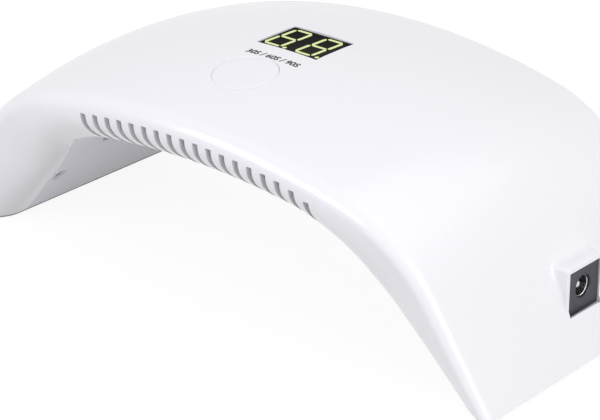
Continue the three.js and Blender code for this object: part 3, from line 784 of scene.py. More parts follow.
@dataclass(frozen=True)
class GlowFinish(Finish):
    """A lit segment: a diffusing resin whose glow drifts a little from place to place."""

    dim: Colour = (0.3, 0.36, 0.12)
    strength: float = 1.0

    def build(self, weave: Weave) -> None:
        """Builds the segment's nodes."""
        shader, place = self.base(weave)
        drift = self.effect(weave, Effect.DRIFT, place, Scale=self.drift_scale, Speckle=self.speckle)
        grain = self.effect(weave, Effect.GRAIN, place, Scale=self.grain_scale, Ripple=self.ripple)
        lit = self.colour_between(weave, drift.outputs["Mask"], self.colour, self.dim)
        weave.link(lit, shader.inputs["Emission Color"])
        shader.inputs["Emission Strength"].default_value = self.strength
        resin = tuple(part * 0.15 for part in self.colour)
        weave.link(
            self.colour_between(weave, grain.outputs["Height"], resin, self.dim), shader.inputs["Base Color"]
        )
        weave.link(
            self.rough(weave, grain.outputs["Height"], self.roughness, self.roughness + self.wear),
            shader.inputs["Roughness"],
        )
        self.raise_up(weave, grain.outputs["Height"], shader, self.grain_depth)


@dataclass(frozen=True)
class LensFinish(Finish):
    """Clear or smoked resin with a few bubbles and a faint haze."""

    clearness: float = 0.9

    def build(self, weave: Weave) -> None:
        """Builds the lens's nodes."""
        Finish.build(self, weave)
        shader = next(node for node in weave.tree.nodes if node.type == "BSDF_PRINCIPLED")
        shader.inputs["Transmission Weight"].default_value = self.clearness


WHITE_CASE = Finish(
    "case_gloss_white", (0.885, 0.878, 0.9), 0.24, "case", shade=0.975, drift_scale=9.0, speckle=0.05,
    wear=0.07, grain_scale=1500.0, grain_depth=0.000006, coat=0.25, refraction=1.49,
)
# The liner's white is a darker, bluer copy of the case's white: painted shade of the tunnel.
LINER_WHITE_PAINTED_SHADE = Finish(
    "liner_white_painted_shade", (0.82, 0.806, 0.875), 0.3, "liner", shade=0.965, drift_scale=11.0, speckle=0.06,
    wear=0.08, grain_scale=1300.0, grain_depth=0.000008, refraction=1.49,
)
WHITE_BUTTON = Finish(
    "button_gloss_white", (0.885, 0.878, 0.9), 0.22, "button", shade=0.98, drift_scale=30.0,
    speckle=0.03, wear=0.1, grain_scale=1500.0, grain_depth=0.000005, coat=0.3, refraction=1.49,
)
GREY_RUBBER = Finish(
    "foot_grey_rubber", (0.3, 0.3, 0.33), 0.85, "foot_rubber", shade=0.75, drift_scale=80.0, speckle=0.5,
    wear=0.1, grain_scale=2600.0, grain_depth=0.00006,
)
DISPLAY_BLACK = Finish(
    "display_face_black", (0.009, 0.0085, 0.007), 0.26, "display_window", shade=0.6, drift_scale=60.0,
    speckle=0.3, wear=0.12, grain_scale=1800.0, grain_depth=0.000004, refraction=1.05,
)
SEGMENT_LIT = GlowFinish(
    "segment_pale_green", (0.6, 0.69, 0.33), 0.5, "display_window", drift_scale=700.0, speckle=0.1,
    wear=0.1, grain_scale=5200.0, grain_depth=0.000008, dim=(0.52, 0.61, 0.28), strength=0.78,
    refraction=1.25,
)
DISPLAY_BOX = Finish(
    "display_box_black", (0.014, 0.014, 0.015), 0.5, "black_plastic", shade=0.7, drift_scale=120.0,
    speckle=0.3, grain_scale=2400.0, grain_depth=0.00002,
)
PRINT_INK = Finish(
    "legend_black_ink", (0.028, 0.027, 0.03), 0.55, "case", shade=0.6, drift_scale=260.0, speckle=0.4,
    wear=0.15, grain_scale=6000.0, grain_depth=0.000004,
)
SOCKET_PLASTIC = Finish(
    "socket_blue_black", (0.0285, 0.0255, 0.041), 0.42, "jack_plastic", shade=0.78, drift_scale=150.0,
    speckle=0.25, wear=0.12, grain_scale=3200.0, grain_depth=0.000025,
)
PLATED = MetalFinish(
    "pin_bright_plate", (0.72, 0.72, 0.74), 0.16, "pin_metal", speckle=0.1, wear=0.14,
    grain_depth=0.000004, metallic=1.0, tarnish=(0.5, 0.49, 0.47),
)
BRASS = MetalFinish(
    "contact_brass", (0.6, 0.42, 0.17), 0.28, "contact_metal", speckle=0.2, wear=0.2,
    grain_depth=0.000008, metallic=1.0, tarnish=(0.3, 0.18, 0.07),
)
SCREW_STEEL = MetalFinish(
    "screw_plated_steel", (0.55, 0.55, 0.57), 0.26, "screw_steel", speckle=0.2, wear=0.18,
    grain_depth=0.000008, metallic=1.0, tarnish=(0.32, 0.31, 0.3),
)
GREEN_BOARD = BoardFinish(
    "board_green_mask", (0.022, 0.13, 0.06), 0.34, "circuit_board", grain_depth=0.00002,
)
WHITE_BOARD = BoardFinish(
    "board_white_mask", (0.78, 0.78, 0.76), 0.36, "white_board", grain_depth=0.00002,
    track=(0.7, 0.7, 0.67), pad=(0.66, 0.6, 0.46),
)
CONNECTOR_IVORY = Finish(
    "connector_ivory", (0.74, 0.71, 0.63), 0.48, "connector", shade=0.9, drift_scale=160.0, speckle=0.2,
    grain_scale=2600.0, grain_depth=0.00002,
)
BLACK_MOULDING = Finish(
    "component_black", (0.017, 0.017, 0.019), 0.55, "black_plastic", shade=0.6, drift_scale=180.0,
    speckle=0.4, wear=0.15, grain_scale=3600.0, grain_depth=0.00003,
)
FERRITE = Finish(
    "inductor_ferrite", (0.05, 0.048, 0.05), 0.7, "black_plastic", shade=0.55, drift_scale=260.0,
    speckle=0.6, wear=0.1, grain_scale=2800.0, grain_depth=0.00005,
)
RED_LEAD = Finish(
    "lead_red_sleeve", (0.42, 0.012, 0.02), 0.42, "red_lead", shade=0.82, drift_scale=140.0, speckle=0.1,
    grain_scale=2400.0, grain_depth=0.00002,
)
BLACK_LEAD = Finish(
    "lead_black_sleeve", (0.02, 0.02, 0.022), 0.42, "dark_lead", shade=0.7, drift_scale=140.0, speckle=0.1,
    grain_scale=2400.0, grain_depth=0.00002,
)
LIGHT_BASE = Finish(
    "light_ceramic_base", (0.8, 0.79, 0.75), 0.45, "led_lens", shade=0.93, drift_scale=300.0, speckle=0.2,
    grain_scale=4200.0, grain_depth=0.00001,
)
PHOSPHOR = Finish(
    "light_phosphor", (0.86, 0.7, 0.16), 0.55, "led_lens", shade=0.8, drift_scale=500.0, speckle=0.6,
    grain_scale=7000.0, grain_depth=0.00002,
)
CLEAR_DOME = LensFinish(
    "light_clear_dome", (0.96, 0.96, 0.94), 0.04, "led_lens", shade=0.99, drift_scale=300.0, speckle=0.05,
    wear=0.08, grain_scale=5000.0, grain_depth=0.000002, refraction=1.41, clearness=0.92,
)
SENSOR_RESIN = Finish(
    "sensor_smoked_resin", (0.016, 0.013, 0.02), 0.12, "sensor", shade=0.6, drift_scale=300.0,
    speckle=0.1, wear=0.1, grain_scale=4200.0, grain_depth=0.000003, coat=0.4,
)


def deliver(
    piece: bpy.types.Object, name: str, finish: Finish, body: Body, stands_for: Sequence[str] = ()
) -> bpy.types.Object:
    """Names a finished piece, dresses it, and fixes it to its body.

    Args:
        piece: The piece, in place.
        name: Its name.
        finish: What it is dressed in.
        body: The body that it moves with.
        stands_for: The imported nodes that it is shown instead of.

    Returns:
        The piece.
    """
    piece.name = name
    piece.data.name = name
    finish.dress(piece)
    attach(piece, body.value)
    if stands_for:
        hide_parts(*stands_for)
    log.info("%-22s %6d faces, %s", name, len(piece.data.polygons), finish.name)
    return piece


# ---------------------------------------------------------------------------------------------
# Sub-assemblies
# ---------------------------------------------------------------------------------------------


def bezier(ends: Sequence[Point2], steps: int) -> list[Point2]:
    """Points along a cubic curve with four control points, both ends included."""
    made = []
    for i in range(steps + 1):
        t = i / steps
        weights = ((1 - t) ** 3, 3 * t * (1 - t) ** 2, 3 * t * t * (1 - t), t**3)
        made.append(tuple(sum(w * p[k] for w, p in zip(weights, ends)) for k in (0, 1)))
    return made


def both_halves(front: Sequence[Point2]) -> list[Point2]:
    """A front half of a section, followed by its mirror image at the back."""
    return [*front, *((-y, w) for y, w in reversed(front))]


@dataclass
class Case:
    """The white outer case: a swept wall with air vents and openings, and a boss for the socket."""

    stations: int = 200
    vent_count: int = 18
    vent_pitch: float = 4.5
    vent_middle_x: float = 4.4
    vent_width: float = 1.9
    vent_height: float = 9.1
    vent_lip: float = 0.6
    vent_corner: float = 0.3
    display_size: Point2 = (20.8, 15.8)
    display_y: float = 0.7
    button_radius: float = 8.6
    button_y: float = -23.2
    button_lip: float = 0.12
    jack_low: tuple[float, float, float] = (78.334, -1.7, 12.0)
    jack_high: tuple[float, float, float] = (89.334, 11.1, 24.2)
    boss_side: float = 1.0
    boss_top: float = 1.4
    boss_corner: float = 1.0
    boss_edge: float = 0.45
    boss_blend: float = 2.2
    leg_slope: tuple[float, float, float] = (0.3, 0.58, 0.13)

    def outside_half(self, station: Station) -> list[Point2]:
        """The front half of the outside, from the tunnel's edge to the top."""
        deep, thick = station.half_depth, station.thickness
        side = thick - ARCH.edge_round
        inset = ARCH.edge_round * 0.45
        start = deep - ARCH.edge_round
        edge, blend = deep - station.recess, station.blend
        low, high, lift = self.leg_slope
        rim = [
            (-edge, 0.0),
            (lerp(-deep + 0.8, -edge - station.recess * low, blend), side * 0.4 * (1 - blend)),
            (lerp(-deep, -edge - station.recess * high, blend), side * lerp(0.7, lift, blend)),
            (-deep + station.lean, side),
        ]
        corner = [
            (-deep + station.lean, side),
            (-deep, thick - inset),
            (-deep + inset, station.height(deep - inset)),
            (-start, station.height(start)),
        ]
        top = [(-start * k / 12, station.height(start * k / 12)) for k in range(11, 0, -1)]
        return [*bezier(rim, 14), *bezier(corner, 12)[1:], *top]

    def inside_half(self, station: Station) -> list[Point2]:
        """The front half of the inside, from the land beside the liner to the top."""
        deep, thick, wall = station.half_depth, station.thickness, ARCH.shell_wall
        end = deep - station.recess - ARCH.rim_land
        corner = deep - wall - ARCH.edge_round * 0.5
        bend = lerp(0.9, station.recess * 0.5, station.blend)
        return [
            (-end, 0.0),
            (-end, 1.4),
            (-deep + wall + bend, (thick - ARCH.edge_round) * 0.5),
            (-deep + wall + station.lean, thick - ARCH.edge_round),
            (-corner, station.height(corner) - wall),
            *((-corner * k, station.height(corner * k) - wall) for k in (0.75, 0.5, 0.25)),
        ]

    def wall(self) -> bpy.types.Object:
        """The closed wall, before anything is cut."""
        rings = []
        for i in range(self.stations + 1):
            station = ARCH.station(2 * i / self.stations - 1)
            loop = both_halves(self.outside_half(station)) + both_halves(self.inside_half(station))[::-1]
            rings.append([station.place(y, w) for y, w in loop])
        size = len(rings[0])
        made = swept(self.stations, size, lambda i, j: rings[i][j % size])
        close_feet(made)
        return made

    def vents(self) -> list[bpy.types.Object]:
        """One slot cutter for each vent in the front and in the back rim."""
        half, tall = self.vent_width / 2, self.vent_height - self.vent_lip
        slot = block((-half, -12.0, 0.0), (half, 0.0, tall))
        with shaping(slot):
            select_edges(lambda a, b: abs(a.y - b.y) > 6 * MM)
            bpy.ops.mesh.bevel(offset=self.vent_corner * MM, segments=3, affect="EDGES")
        tools = []
        for i in range(self.vent_count):
            x = self.vent_middle_x + (i - (self.vent_count - 1) / 2) * self.vent_pitch
            low = min(ARCH.inner.height_at(x - half), ARCH.inner.height_at(x + half))
            deep = ARCH.half_depth_at(ARCH.outer.height_at(x)) - ARCH.rim_recess - ARCH.rim_land - ARCH.gap
            for turn in (0.0, math.pi):
                spot = Vector((x, -deep if turn == 0.0 else deep, low + self.vent_lip)) * MM
                tools.append(copied(slot, Matrix.Translation(spot) @ Matrix.Rotation(turn, 4, "Z")))
        bpy.data.objects.remove(slot)
        return tools

    def button_opening(self) -> bpy.types.Object:
        """A round cutter whose mouth flares by a small lip where it meets the crown."""
        hole = self.button_radius + ARCH.gap
        level = ARCH.top_z(0.0, self.button_y)
        lip = self.button_lip
        profile = [(0.0, level - 8.0), (hole, level - 8.0), (hole, level - lip)]
        profile += [
            (hole + lip * (1 - math.cos(a)), level - lip + lip * math.sin(a)) for a in (0.45, 0.9, 1.3, 1.57)
        ]
        profile += [(hole + lip * 2.2, level + 1.0), (0.0, level + 1.0)]
        tool = turned(profile, steps=96)
        settle(tool, Matrix.Translation((0.0, self.button_y * MM, 0.0)))
        follow_crown(tool, level, self.button_y)
        return tool

    def boss(self) -> bpy.types.Object:
        """The socket's boss: a rounded frame that flares into the leg all round."""
        grow = ARCH.gap
        y0, y1 = self.jack_low[1] - grow - self.boss_side, self.jack_high[1] + grow + self.boss_side
        z0, z1 = self.jack_low[2] - grow - self.boss_top, self.jack_high[2] + grow + self.boss_top
        face = self.jack_high[0] + grow
        outline = rounded_outline((y0, z0), (y1, z1), self.boss_corner, 6, 8)
        edge, blend = self.boss_edge, self.boss_blend
        rings: list[list[Vector]] = []
        for turn in (0.0, 0.4, 0.8, 1.2, math.pi / 2):
            inset, back = edge * (1 - math.sin(turn)), edge * (1 - math.cos(turn))
            rings.append([Vector((face - back, y - inset * ny, z - inset * nz)) for y, z, ny, nz in outline])
        flare: list[list[Vector]] = [[] for _ in range(9)]
        for y, z, ny, nz in outline:
            foot = ARCH.side_x(y, z)
            reach = max(0.05, min(blend, (face - edge - foot) * 0.75))
            toe_y, toe_z = y + ny * reach, z + nz * reach
            most = face - edge - 0.02
            wall = Vector((min(foot + reach, most), y, z))
            corner = Vector((min(foot, most - 0.02), y, z))
            toe = Vector((min(ARCH.side_x(toe_y, toe_z) - 0.12, most - 0.04), toe_y, toe_z))
            for k in range(8):
                t = k / 7
                flare[k].append(wall * (1 - t) ** 2 + corner * 2 * t * (1 - t) + toe * t * t)
            flare[8].append(toe - Vector((1.2, 0.0, 0.0)))
        rings += flare
        count = len(outline)
        made = swept(count, len(rings) - 1, lambda i, j: rings[j][i % count])
        with shaping(made):
            select_edges(lambda a, b: min(a.x, b.x) > (face - 0.001) * MM)
            bpy.ops.mesh.edge_face_add()
        with shaping(made):
            bpy.ops.mesh.select_mode(type="EDGE")
            bpy.ops.mesh.select_all(action="DESELECT")
            bpy.ops.mesh.select_non_manifold(extend=False)
            bpy.ops.mesh.edge_face_add()
        close_up(made)
        return made

    def build(self) -> None:
        """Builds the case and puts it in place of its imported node."""
        case = self.wall()
        combine(case, [self.boss()], Joining.WELD)
        grow = ARCH.gap
        low, high = self.jack_low, self.jack_high
        pocket = block(
            (low[0] - grow, low[1] - grow, low[2] - grow), (high[0] + 1, high[1] + grow, high[2] + grow)
        )
        wide, deep = self.display_size
        window = block(
            (-wide / 2, self.display_y - deep / 2, 54.0), (wide / 2, self.display_y + deep / 2, 66.0)
        )
        combine(case, [pocket, window, self.button_opening(), *self.vents()], Joining.CUT)
        close_up(case)
        crease(case)
        deliver(case, "case_shell", WHITE_CASE, Body.CASE, ["top_shell"])


def follow_crown(piece: bpy.types.Object, level: float, middle_y: float, fade: float = 3.0) -> None:
    """Bends the upper part of a piece that was made flat so that it follows the case's crown.

    Args:
        piece: The piece, in place.
        level: Height in millimetres that was flat and comes to lie on the crown.
        middle_y: The piece's middle, whose height is kept.
        fade: How far below the level the bend has died away.
    """
    middle = ARCH.top_z(0.0, middle_y)
    for vertex in piece.data.vertices:
        share = max(0.0, min(1.0, 1 - (level - vertex.co.z / MM) / fade))
        drop = ARCH.top_z(vertex.co.x / MM, vertex.co.y / MM) - middle
        vertex.co.z += drop * share * MM


def rounded_outline(
    low: Point2, high: Point2, radius: float, corner_steps: int, side_steps: int
) -> list[tuple[float, float, float, float]]:
    """The outline of a rectangle with round corners.

    Args:
        low: Its lowest corner.
        high: Its highest corner.
        radius: Radius of the corners.
        corner_steps: Steps round each corner.
        side_steps: Steps along each side.

    Returns:
        Each point with the direction that points out of the rectangle there.
    """
    centres = [
        (high[0] - radius, high[1] - radius),
        (low[0] + radius, high[1] - radius),
        (low[0] + radius, low[1] + radius),
        (high[0] - radius, low[1] + radius),
    ]
    made = []
    for k, (cy, cz) in enumerate(centres):
        for i in range(corner_steps + 1):
            angle = (k + i / corner_steps) * math.pi / 2
            ny, nz = math.cos(angle), math.sin(angle)
            made.append((cy + radius * ny, cz + radius * nz, ny, nz))
        following = centres[(k + 1) % 4]
        angle = (k + 1) * math.pi / 2
        ny, nz = math.cos(angle), math.sin(angle)
        ends = [(cy + radius * ny, cz + radius * nz), (following[0] + radius * ny, following[1] + radius * nz)]
        for i in range(1, side_steps):
            t = i / side_steps
            made.append(
                (ends[0][0] * (1 - t) + ends[1][0] * t, ends[0][1] * (1 - t) + ends[1][1] * t, ny, nz)
            )
    return made


@dataclass
class Liner:
    """The sheet that lines the tunnel, with round openings for lights, sensors and screws."""

    stations: int = 160
    rows: int = 10
    light_hole: float = 2.8
    sensor_hole: float = 1.9
    screw_hole: float = 2.6
    shank_hole: float = 1.6
    screw_head_height: float = 1.2
    countersink: float = 0.35
    sensor_countersink: float = 0.6
    seam: float = 0.05  # the hair line that shows between the liner and the case

    def sheet(self) -> bpy.types.Object:
        """The closed sheet, before anything is cut."""
        rings = []
        for i in range(self.stations + 1):
            station = ARCH.station(2 * i / self.stations - 1)
            y = station.half_depth - station.recess - ARCH.rim_land - self.seam
            under = [(-y + 2 * y * k / self.rows, 0.0) for k in range(self.rows + 1)]
            over = [(-y + 2 * y * k / self.rows, ARCH.cover_wall) for k in range(self.rows, -1, -1)]
            rings.append([station.place(*point) for point in under + over])
        size = len(rings[0])
        made = swept(self.stations, size, lambda i, j: rings[i][j % size])
        close_feet(made)
        return made

    def drill(self, radius: float, countersink: float) -> bpy.types.Object:
        """A cutter for a round hole whose mouth in the tunnel is countersunk a little."""
        flare = radius + countersink
        return turned(
            [
                (0.0, -3.0),
                (flare + 2.0, -3.0),
                (flare, 0.0),
                (radius, countersink),
                (radius, 4.5),
                (0.0, 4.5),
            ],
            steps=48,
        )

    def build(self, lights: Sequence[Matrix], sensors: Sequence[Matrix], screws: Sequence[Vector]) -> None:
        """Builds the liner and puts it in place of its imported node.

        Args:
            lights: The frame of each light.
            sensors: The frame of each hand sensor.
            screws: The underside of each screw's head, in millimetres.
        """
        liner = self.sheet()
        light = self.drill(self.light_hole, self.countersink)
        sensor = self.drill(self.sensor_hole, self.sensor_countersink)
        tools = [copied(light, place) for place in lights] + [copied(sensor, place) for place in sensors]
        tall = self.screw_head_height
        well = turned(
            [
                (0.0, -8.0),
                (self.screw_hole, -8.0),
                (self.screw_hole, tall),
                (self.shank_hole, tall),
                (self.shank_hole, 6.0),
                (0.0, 6.0),
            ],
            steps=40,
        )
        tools += [copied(well, Matrix.Translation(spot * MM)) for spot in screws]
        for used in (light, sensor, well):
            bpy.data.objects.remove(used)
        combine(liner, tools, Joining.CUT)
        close_up(liner)
        crease(liner)
        deliver(liner, "tunnel_liner", LINER_WHITE_PAINTED_SHADE, Body.CASE, ["inner_cover"])


@dataclass
class PushButton:
    """The round start button: a cup that follows the crown, with a flange and a stem."""

    radius: float = 8.85
    y: float = -23.2
    edge: float = 0.32
    wall: float = 1.6
    flange_top: float = 57.933
    flange_height: float = 1.0
    flange_reach: float = 1.2
    stem_radius: float = 2.0
    stem_bottom: float = 58.499

    def profile(self, level: float) -> list[Point2]:
        """Half of the button's section, from the middle of its top to the middle of its stem."""
        r, e = self.radius, self.edge
        top = [(0.0, level), (2.5, level), (5.0, level), (7.0, level)]
        corner = [
            (r - e + e * math.sin(a), level - e + e * math.cos(a)) for a in (0.0, 0.35, 0.7, 1.05, 1.4, 1.57)
        ]
        rim = r + self.flange_reach - 0.25
        bottom = self.flange_top - self.flange_height
        inner = r - self.wall
        return [
            *top,
            *corner,
            (r, self.flange_top + 0.2),
            (r + 0.2, self.flange_top),
            (rim - 0.15, self.flange_top),
            (rim, self.flange_top - 0.15),
            (rim, bottom + 0.15),
            (rim - 0.15, bottom),
            (inner, bottom),
            (inner, level - 3.4),
            (inner - 0.8, level - 2.6),
            (self.stem_radius + 0.5, level - 2.6),
            (self.stem_radius, level - 3.1),
            (self.stem_radius, self.stem_bottom + 0.2),
            (self.stem_radius - 0.2, self.stem_bottom),
            (0.0, self.stem_bottom),
        ]

    def build(self) -> None:
        """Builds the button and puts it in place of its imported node."""
        level = ARCH.top_z(0.0, self.y)
        button = turned(self.profile(level), steps=96)
        settle(button, Matrix.Translation((0.0, self.y * MM, 0.0)))
        follow_crown(button, level, self.y, fade=2.4)
        close_up(button)
        crease(button, 40.0)
        deliver(button, "start_button", WHITE_BUTTON, Body.BUTTON, ["button_cap"])


@dataclass
class Display:
    """The two-digit display: a black face in the crown with lit segments and decimal points."""

    digit_size: Point2 = (6.5, 13.3)
    digit_middles: tuple[float, float] = (-6.0, 4.7)
    digit_y: float = 0.8
    stroke: float = 0.98
    joint: float = 0.2
    slant: float = 0.08
    point_places: tuple[Point2, ...] = ((-2.16, -5.3), (9.1, -5.3))
    point_radius: float = 0.62
    relief: float = 0.05
    sink: float = 0.03

    def face(self) -> float:
        """Builds the black face and returns its top's height in millimetres."""
        low, high = (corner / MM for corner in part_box("display_window"))
        slab = block(low, high)
        with shaping(slab):
            select_faces(lambda centre, normal: normal.z > 0.9)
            bpy.ops.mesh.inset(thickness=0.35 * MM)
            bpy.ops.transform.translate(value=(0.0, 0.0, -0.06 * MM))
        with shaping(slab):
            select_edges(lambda a, b: min(a.z, b.z) > (high.z - 0.01) * MM)
            bpy.ops.mesh.bevel(offset=0.12 * MM, segments=2, affect="EDGES")
        close_up(slab)
        crease(slab)
        deliver(slab, "display_face", DISPLAY_BLACK, Body.CASE, ["display_window"])
        return high.z - 0.06

    def bar(self, length: float) -> bpy.types.Object:
        """One lit segment along X: a flat bar with pointed ends and softened edges."""
        bpy.ops.mesh.primitive_circle_add(vertices=6, radius=self.stroke / 2 * MM, fill_type="NGON")
        made = bpy.context.object
        reach = (length / 2 - self.joint) * MM
        wide = self.stroke / 2 * MM
        corners = [(-reach, 0), (-reach + wide, -wide), (reach - wide, -wide)]
        corners += [(-x, -y) for x, y in corners]
        turn = sorted(made.data.vertices, key=lambda v: math.atan2(v.co.y, v.co.x))
        for vertex, (x, y) in zip(turn, sorted(corners, key=lambda c: math.atan2(c[1], c[0]))):
            vertex.co = (x, y, 0.0)
        with shaping(made):
            bpy.ops.mesh.extrude_region_move(
                TRANSFORM_OT_translate={"value": (0, 0, (self.relief + self.sink) * MM)}
            )
        close_up(made)
        with shaping(made):
            select_edges(lambda a, b: min(a.z, b.z) > self.relief * MM)
            bpy.ops.mesh.bevel(offset=0.03 * MM, segments=2, affect="EDGES")
        return made

    def slanted(self, x: float, y: float, turn: float, level: float) -> Matrix:
        """The place of a segment in a slanted digit."""
        lean = Matrix.Identity(4)
        lean[0][1] = self.slant
        spot = Matrix.Translation(Vector((x, y, level - self.sink)) * MM)
        return spot @ Matrix.Rotation(turn, 4, "Z") if not turn else spot @ lean @ Matrix.Rotation(turn, 4, "Z")

    def digit(self, middle: float, level: float, name: str) -> None:
        """Builds the seven segments of one digit.

        Args:
            middle: X of the digit's middle.
            level: Height of the face.
            name: The piece's name.
        """
        wide, tall = (size - self.stroke for size in self.digit_size)
        across, upright = self.bar(wide), self.bar(tall / 2)
        bars = []
        for row in (-1, 0, 1):
            y = row * tall / 2
            place = self.slanted(middle + y * self.slant, self.digit_y + y, 0.0, level)
            bars.append(copied(across, place))
        for side in (-1, 1):
            for row in (-1, 1):
                y = row * tall / 4
                x = middle + side * wide / 2 + y * self.slant
                bars.append(copied(upright, self.slanted(x, self.digit_y + y, math.pi / 2, level)))
        for used in (across, upright):
            bpy.data.objects.remove(used)
        pick(*bars)
        bpy.ops.object.join()
        made = bpy.context.object
        crease(made)
        deliver(made, name, SEGMENT_LIT, Body.CASE)

    def point(self, spot: Point2, level: float, name: str) -> None:
        """Builds one decimal point."""
        r, up = self.point_radius, level + self.relief
        low = level - self.sink
        dot = turned([(0, low), (r, low), (r, up - 0.03), (r - 0.04, up), (0, up)], steps=28)
        settle(dot, Matrix.Translation((spot[0] * MM, spot[1] * MM, 0.0)))
        crease(dot)
        deliver(dot, name, SEGMENT_LIT, Body.CASE)

    def build(self) -> None:
        """Builds the face, both digits and both points."""
        level = self.face()
        for middle, name in zip(self.digit_middles, ("digit_tens", "digit_ones")):
            self.digit(middle, level, name)
        for spot, name in zip(self.point_places, ("point_tens", "point_ones")):
            self.point(spot, level, name)


@dataclass
class TimerLegend:
    """The three running times printed in front of the display."""

    words: tuple[str, ...] = ("30S", "60S", "90S")
    middle: Point2 = (0.5, -12.9)
    width: float = 17.9
    height: float = 2.15
    film: float = 0.07
    sink: float = 0.03
    weight: float = 0.024

    def build(self) -> None:
        """Builds the print as a thin film that lies on the crown."""
        bpy.ops.object.text_add(location=(0, 0, 0))
        text = bpy.context.object
        text.data.body = " / ".join(self.words)
        text.data.align_x = "CENTER"
        text.data.align_y = "CENTER"
        text.data.size = 1.0
        text.data.shear = 0.1
        text.data.offset = self.weight
        text.data.resolution_u = 4
        pick(text)
        bpy.ops.object.convert(target="MESH")
        made = bpy.context.object
        xs = [vertex.co.x for vertex in made.data.vertices]
        ys = [vertex.co.y for vertex in made.data.vertices]
        wide, tall = max(xs) - min(xs), max(ys) - min(ys)
        middle_x, middle_y = (max(xs) + min(xs)) / 2, (max(ys) + min(ys)) / 2
        for vertex in made.data.vertices:
            x = self.middle[0] + (vertex.co.x - middle_x) / wide * self.width
            y = self.middle[1] + (vertex.co.y - middle_y) / tall * self.height
            vertex.co = Vector((x, y, ARCH.top_z(x, y) - self.sink)) * MM
        with shaping(made):
            bpy.ops.mesh.remove_doubles(threshold=MERGE_DISTANCE)
            bpy.ops.mesh.select_all(action="SELECT")
            bpy.ops.mesh.extrude_region_move(TRANSFORM_OT_translate={"value": (0, 0, self.film * MM)})
        close_up(made)
        deliver(made, "timer_legend", PRINT_INK, Body.CASE)


@dataclass
class PowerSocket:
    """The round power socket: a square moulded body, a spring sleeve in its bore and a pin."""

    bore_radius: float = 3.1
    bore_depth: float = 9.0
    bore_z: float = 18.7
    sleeve_radius: float = 2.75
    sleeve_start: float = 0.9
    pin_radius: float = 1.0
    pin_start: float = 1.5
    body_edge: float = 0.18

    def axis(self, x: float, y: float) -> Matrix:
        """A frame whose Z points out of the socket, from a place on its axis."""
        return Matrix.Translation(Vector((x, y, self.bore_z)) * MM) @ Matrix.Rotation(math.pi / 2, 4, "Y")

    def build(self) -> None:
        """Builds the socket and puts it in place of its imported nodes."""
        low, high = (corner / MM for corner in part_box("jack_body"))
        middle_y = (low.y + high.y) / 2
        body = block(low, high, self.body_edge)
        with shaping(body):
            select_faces(lambda centre, normal: normal.x > 0.9 and centre.x > (high.x - 0.01) * MM)
            bpy.ops.mesh.inset(thickness=0.7 * MM)
            bpy.ops.transform.translate(value=(-0.15 * MM, 0.0, 0.0))
        radius, lip = self.bore_radius, 0.3
        bore = turned(
            [(0, 1), (radius + lip, 1), (radius + lip, -0.15), (radius, -0.15 - lip), (radius, -9), (0, -9)],
            steps=64,
        )
        settle(bore, self.axis(high.x, middle_y))
        combine(body, [bore], Joining.CUT)
        close_up(body)
        crease(body)
        deliver(body, "socket_body", SOCKET_PLASTIC, Body.CASE, ["jack_body"])

        outer, inner = self.sleeve_radius + 0.22, self.sleeve_radius
        start, end = -self.sleeve_start, -self.bore_depth + 0.3
        sleeve = turned(
            [
                (inner, start - 0.15),
                (inner + 0.1, start),
                (outer - 0.08, start),
                (outer, start - 0.12),
                (outer, end),
                (inner, end),
                (inner, start - 0.15),
            ],
            steps=64,
        )
        settle(sleeve, self.axis(high.x, middle_y))
        crease(sleeve)
        deliver(sleeve, "socket_sleeve", PLATED, Body.CASE)

        r, tip = self.pin_radius, -self.pin_start
        round_tip = [(r * math.sin(a), tip - r * 0.6 * (1 - math.cos(a))) for a in (0.0, 0.4, 0.8, 1.2, 1.57)]
        pin = turned([*round_tip, (r, -self.bore_depth), (0, -self.bore_depth)], steps=40)
        settle(pin, self.axis(high.x, middle_y))
        crease(pin, 40.0)
        deliver(pin, "socket_pin", PLATED, Body.CASE, ["jack_pin"])


@dataclass
class Lights:
    """The twelve ultraviolet lights: a ceramic base, a phosphor disc and a clear dome each."""

    radius: float = 2.5
    stickout: float = 0.6
    base_bottom: float = 1.0
    base_top: float = 2.2
    pitch: float = 18.0
    row_y: float = 14.0
    side_pitch: float = 17.0
    leg_position: float = 36.0

    def places(self) -> list[Matrix]:
        """The frame of each light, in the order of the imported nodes."""
        ceiling = [
            Matrix.Translation(Vector((column * self.pitch, row * self.row_y, ARCH.tunnel_height)) * MM)
            for column in (-1, 0, 1)
            for row in (-1, 1)
        ]
        legs = [
            ARCH.leg_frame(side, self.leg_position, row * self.side_pitch)
            for side in (-1, 1)
            for row in (-1, 0, 1)
        ]
        return ceiling + legs

    def build(self) -> None:
        """Models one light and copies it to each place."""
        r, start = self.radius, self.base_bottom
        base = turned(
            [
                (0, start + 0.1),
                (1.9, start + 0.1),
                (1.9, start - 0.25),
                (2.05, start - 0.4),
                (r - 0.1, start - 0.4),
                (r, start - 0.3),
                (r, self.base_top - 0.1),
                (r - 0.1, self.base_top),
                (0, self.base_top),
            ],
            steps=48,
        )
        crease(base)
        disc = turned(
            [(0, start - 0.12), (1.2, start - 0.08), (1.7, start), (1.7, start + 0.08), (0, start + 0.08)]
        )
        crease(disc)
        steps = [k / 8 * math.pi / 2 for k in range(9)]
        rim = 1.86
        top = start - 0.3
        tall = top + self.stickout
        arc = [(rim * math.sin(a), top - tall * math.cos(a)) for a in steps]
        dome = turned([*arc, (rim, start - 0.14), (0, start - 0.14)], steps=48)
        crease(dome, 40.0)
        for number, place in enumerate(self.places(), 1):
            tag = f"{number:02d}"
            deliver(copied(base, place), "light_base_" + tag, LIGHT_BASE, Body.CASE, ["led_" + tag])
            deliver(copied(disc, place), "light_disc_" + tag, PHOSPHOR, Body.CASE)
            deliver(copied(dome, place), "light_dome_" + tag, CLEAR_DOME, Body.CASE)
        for used in (base, disc, dome):
            bpy.data.objects.remove(used)


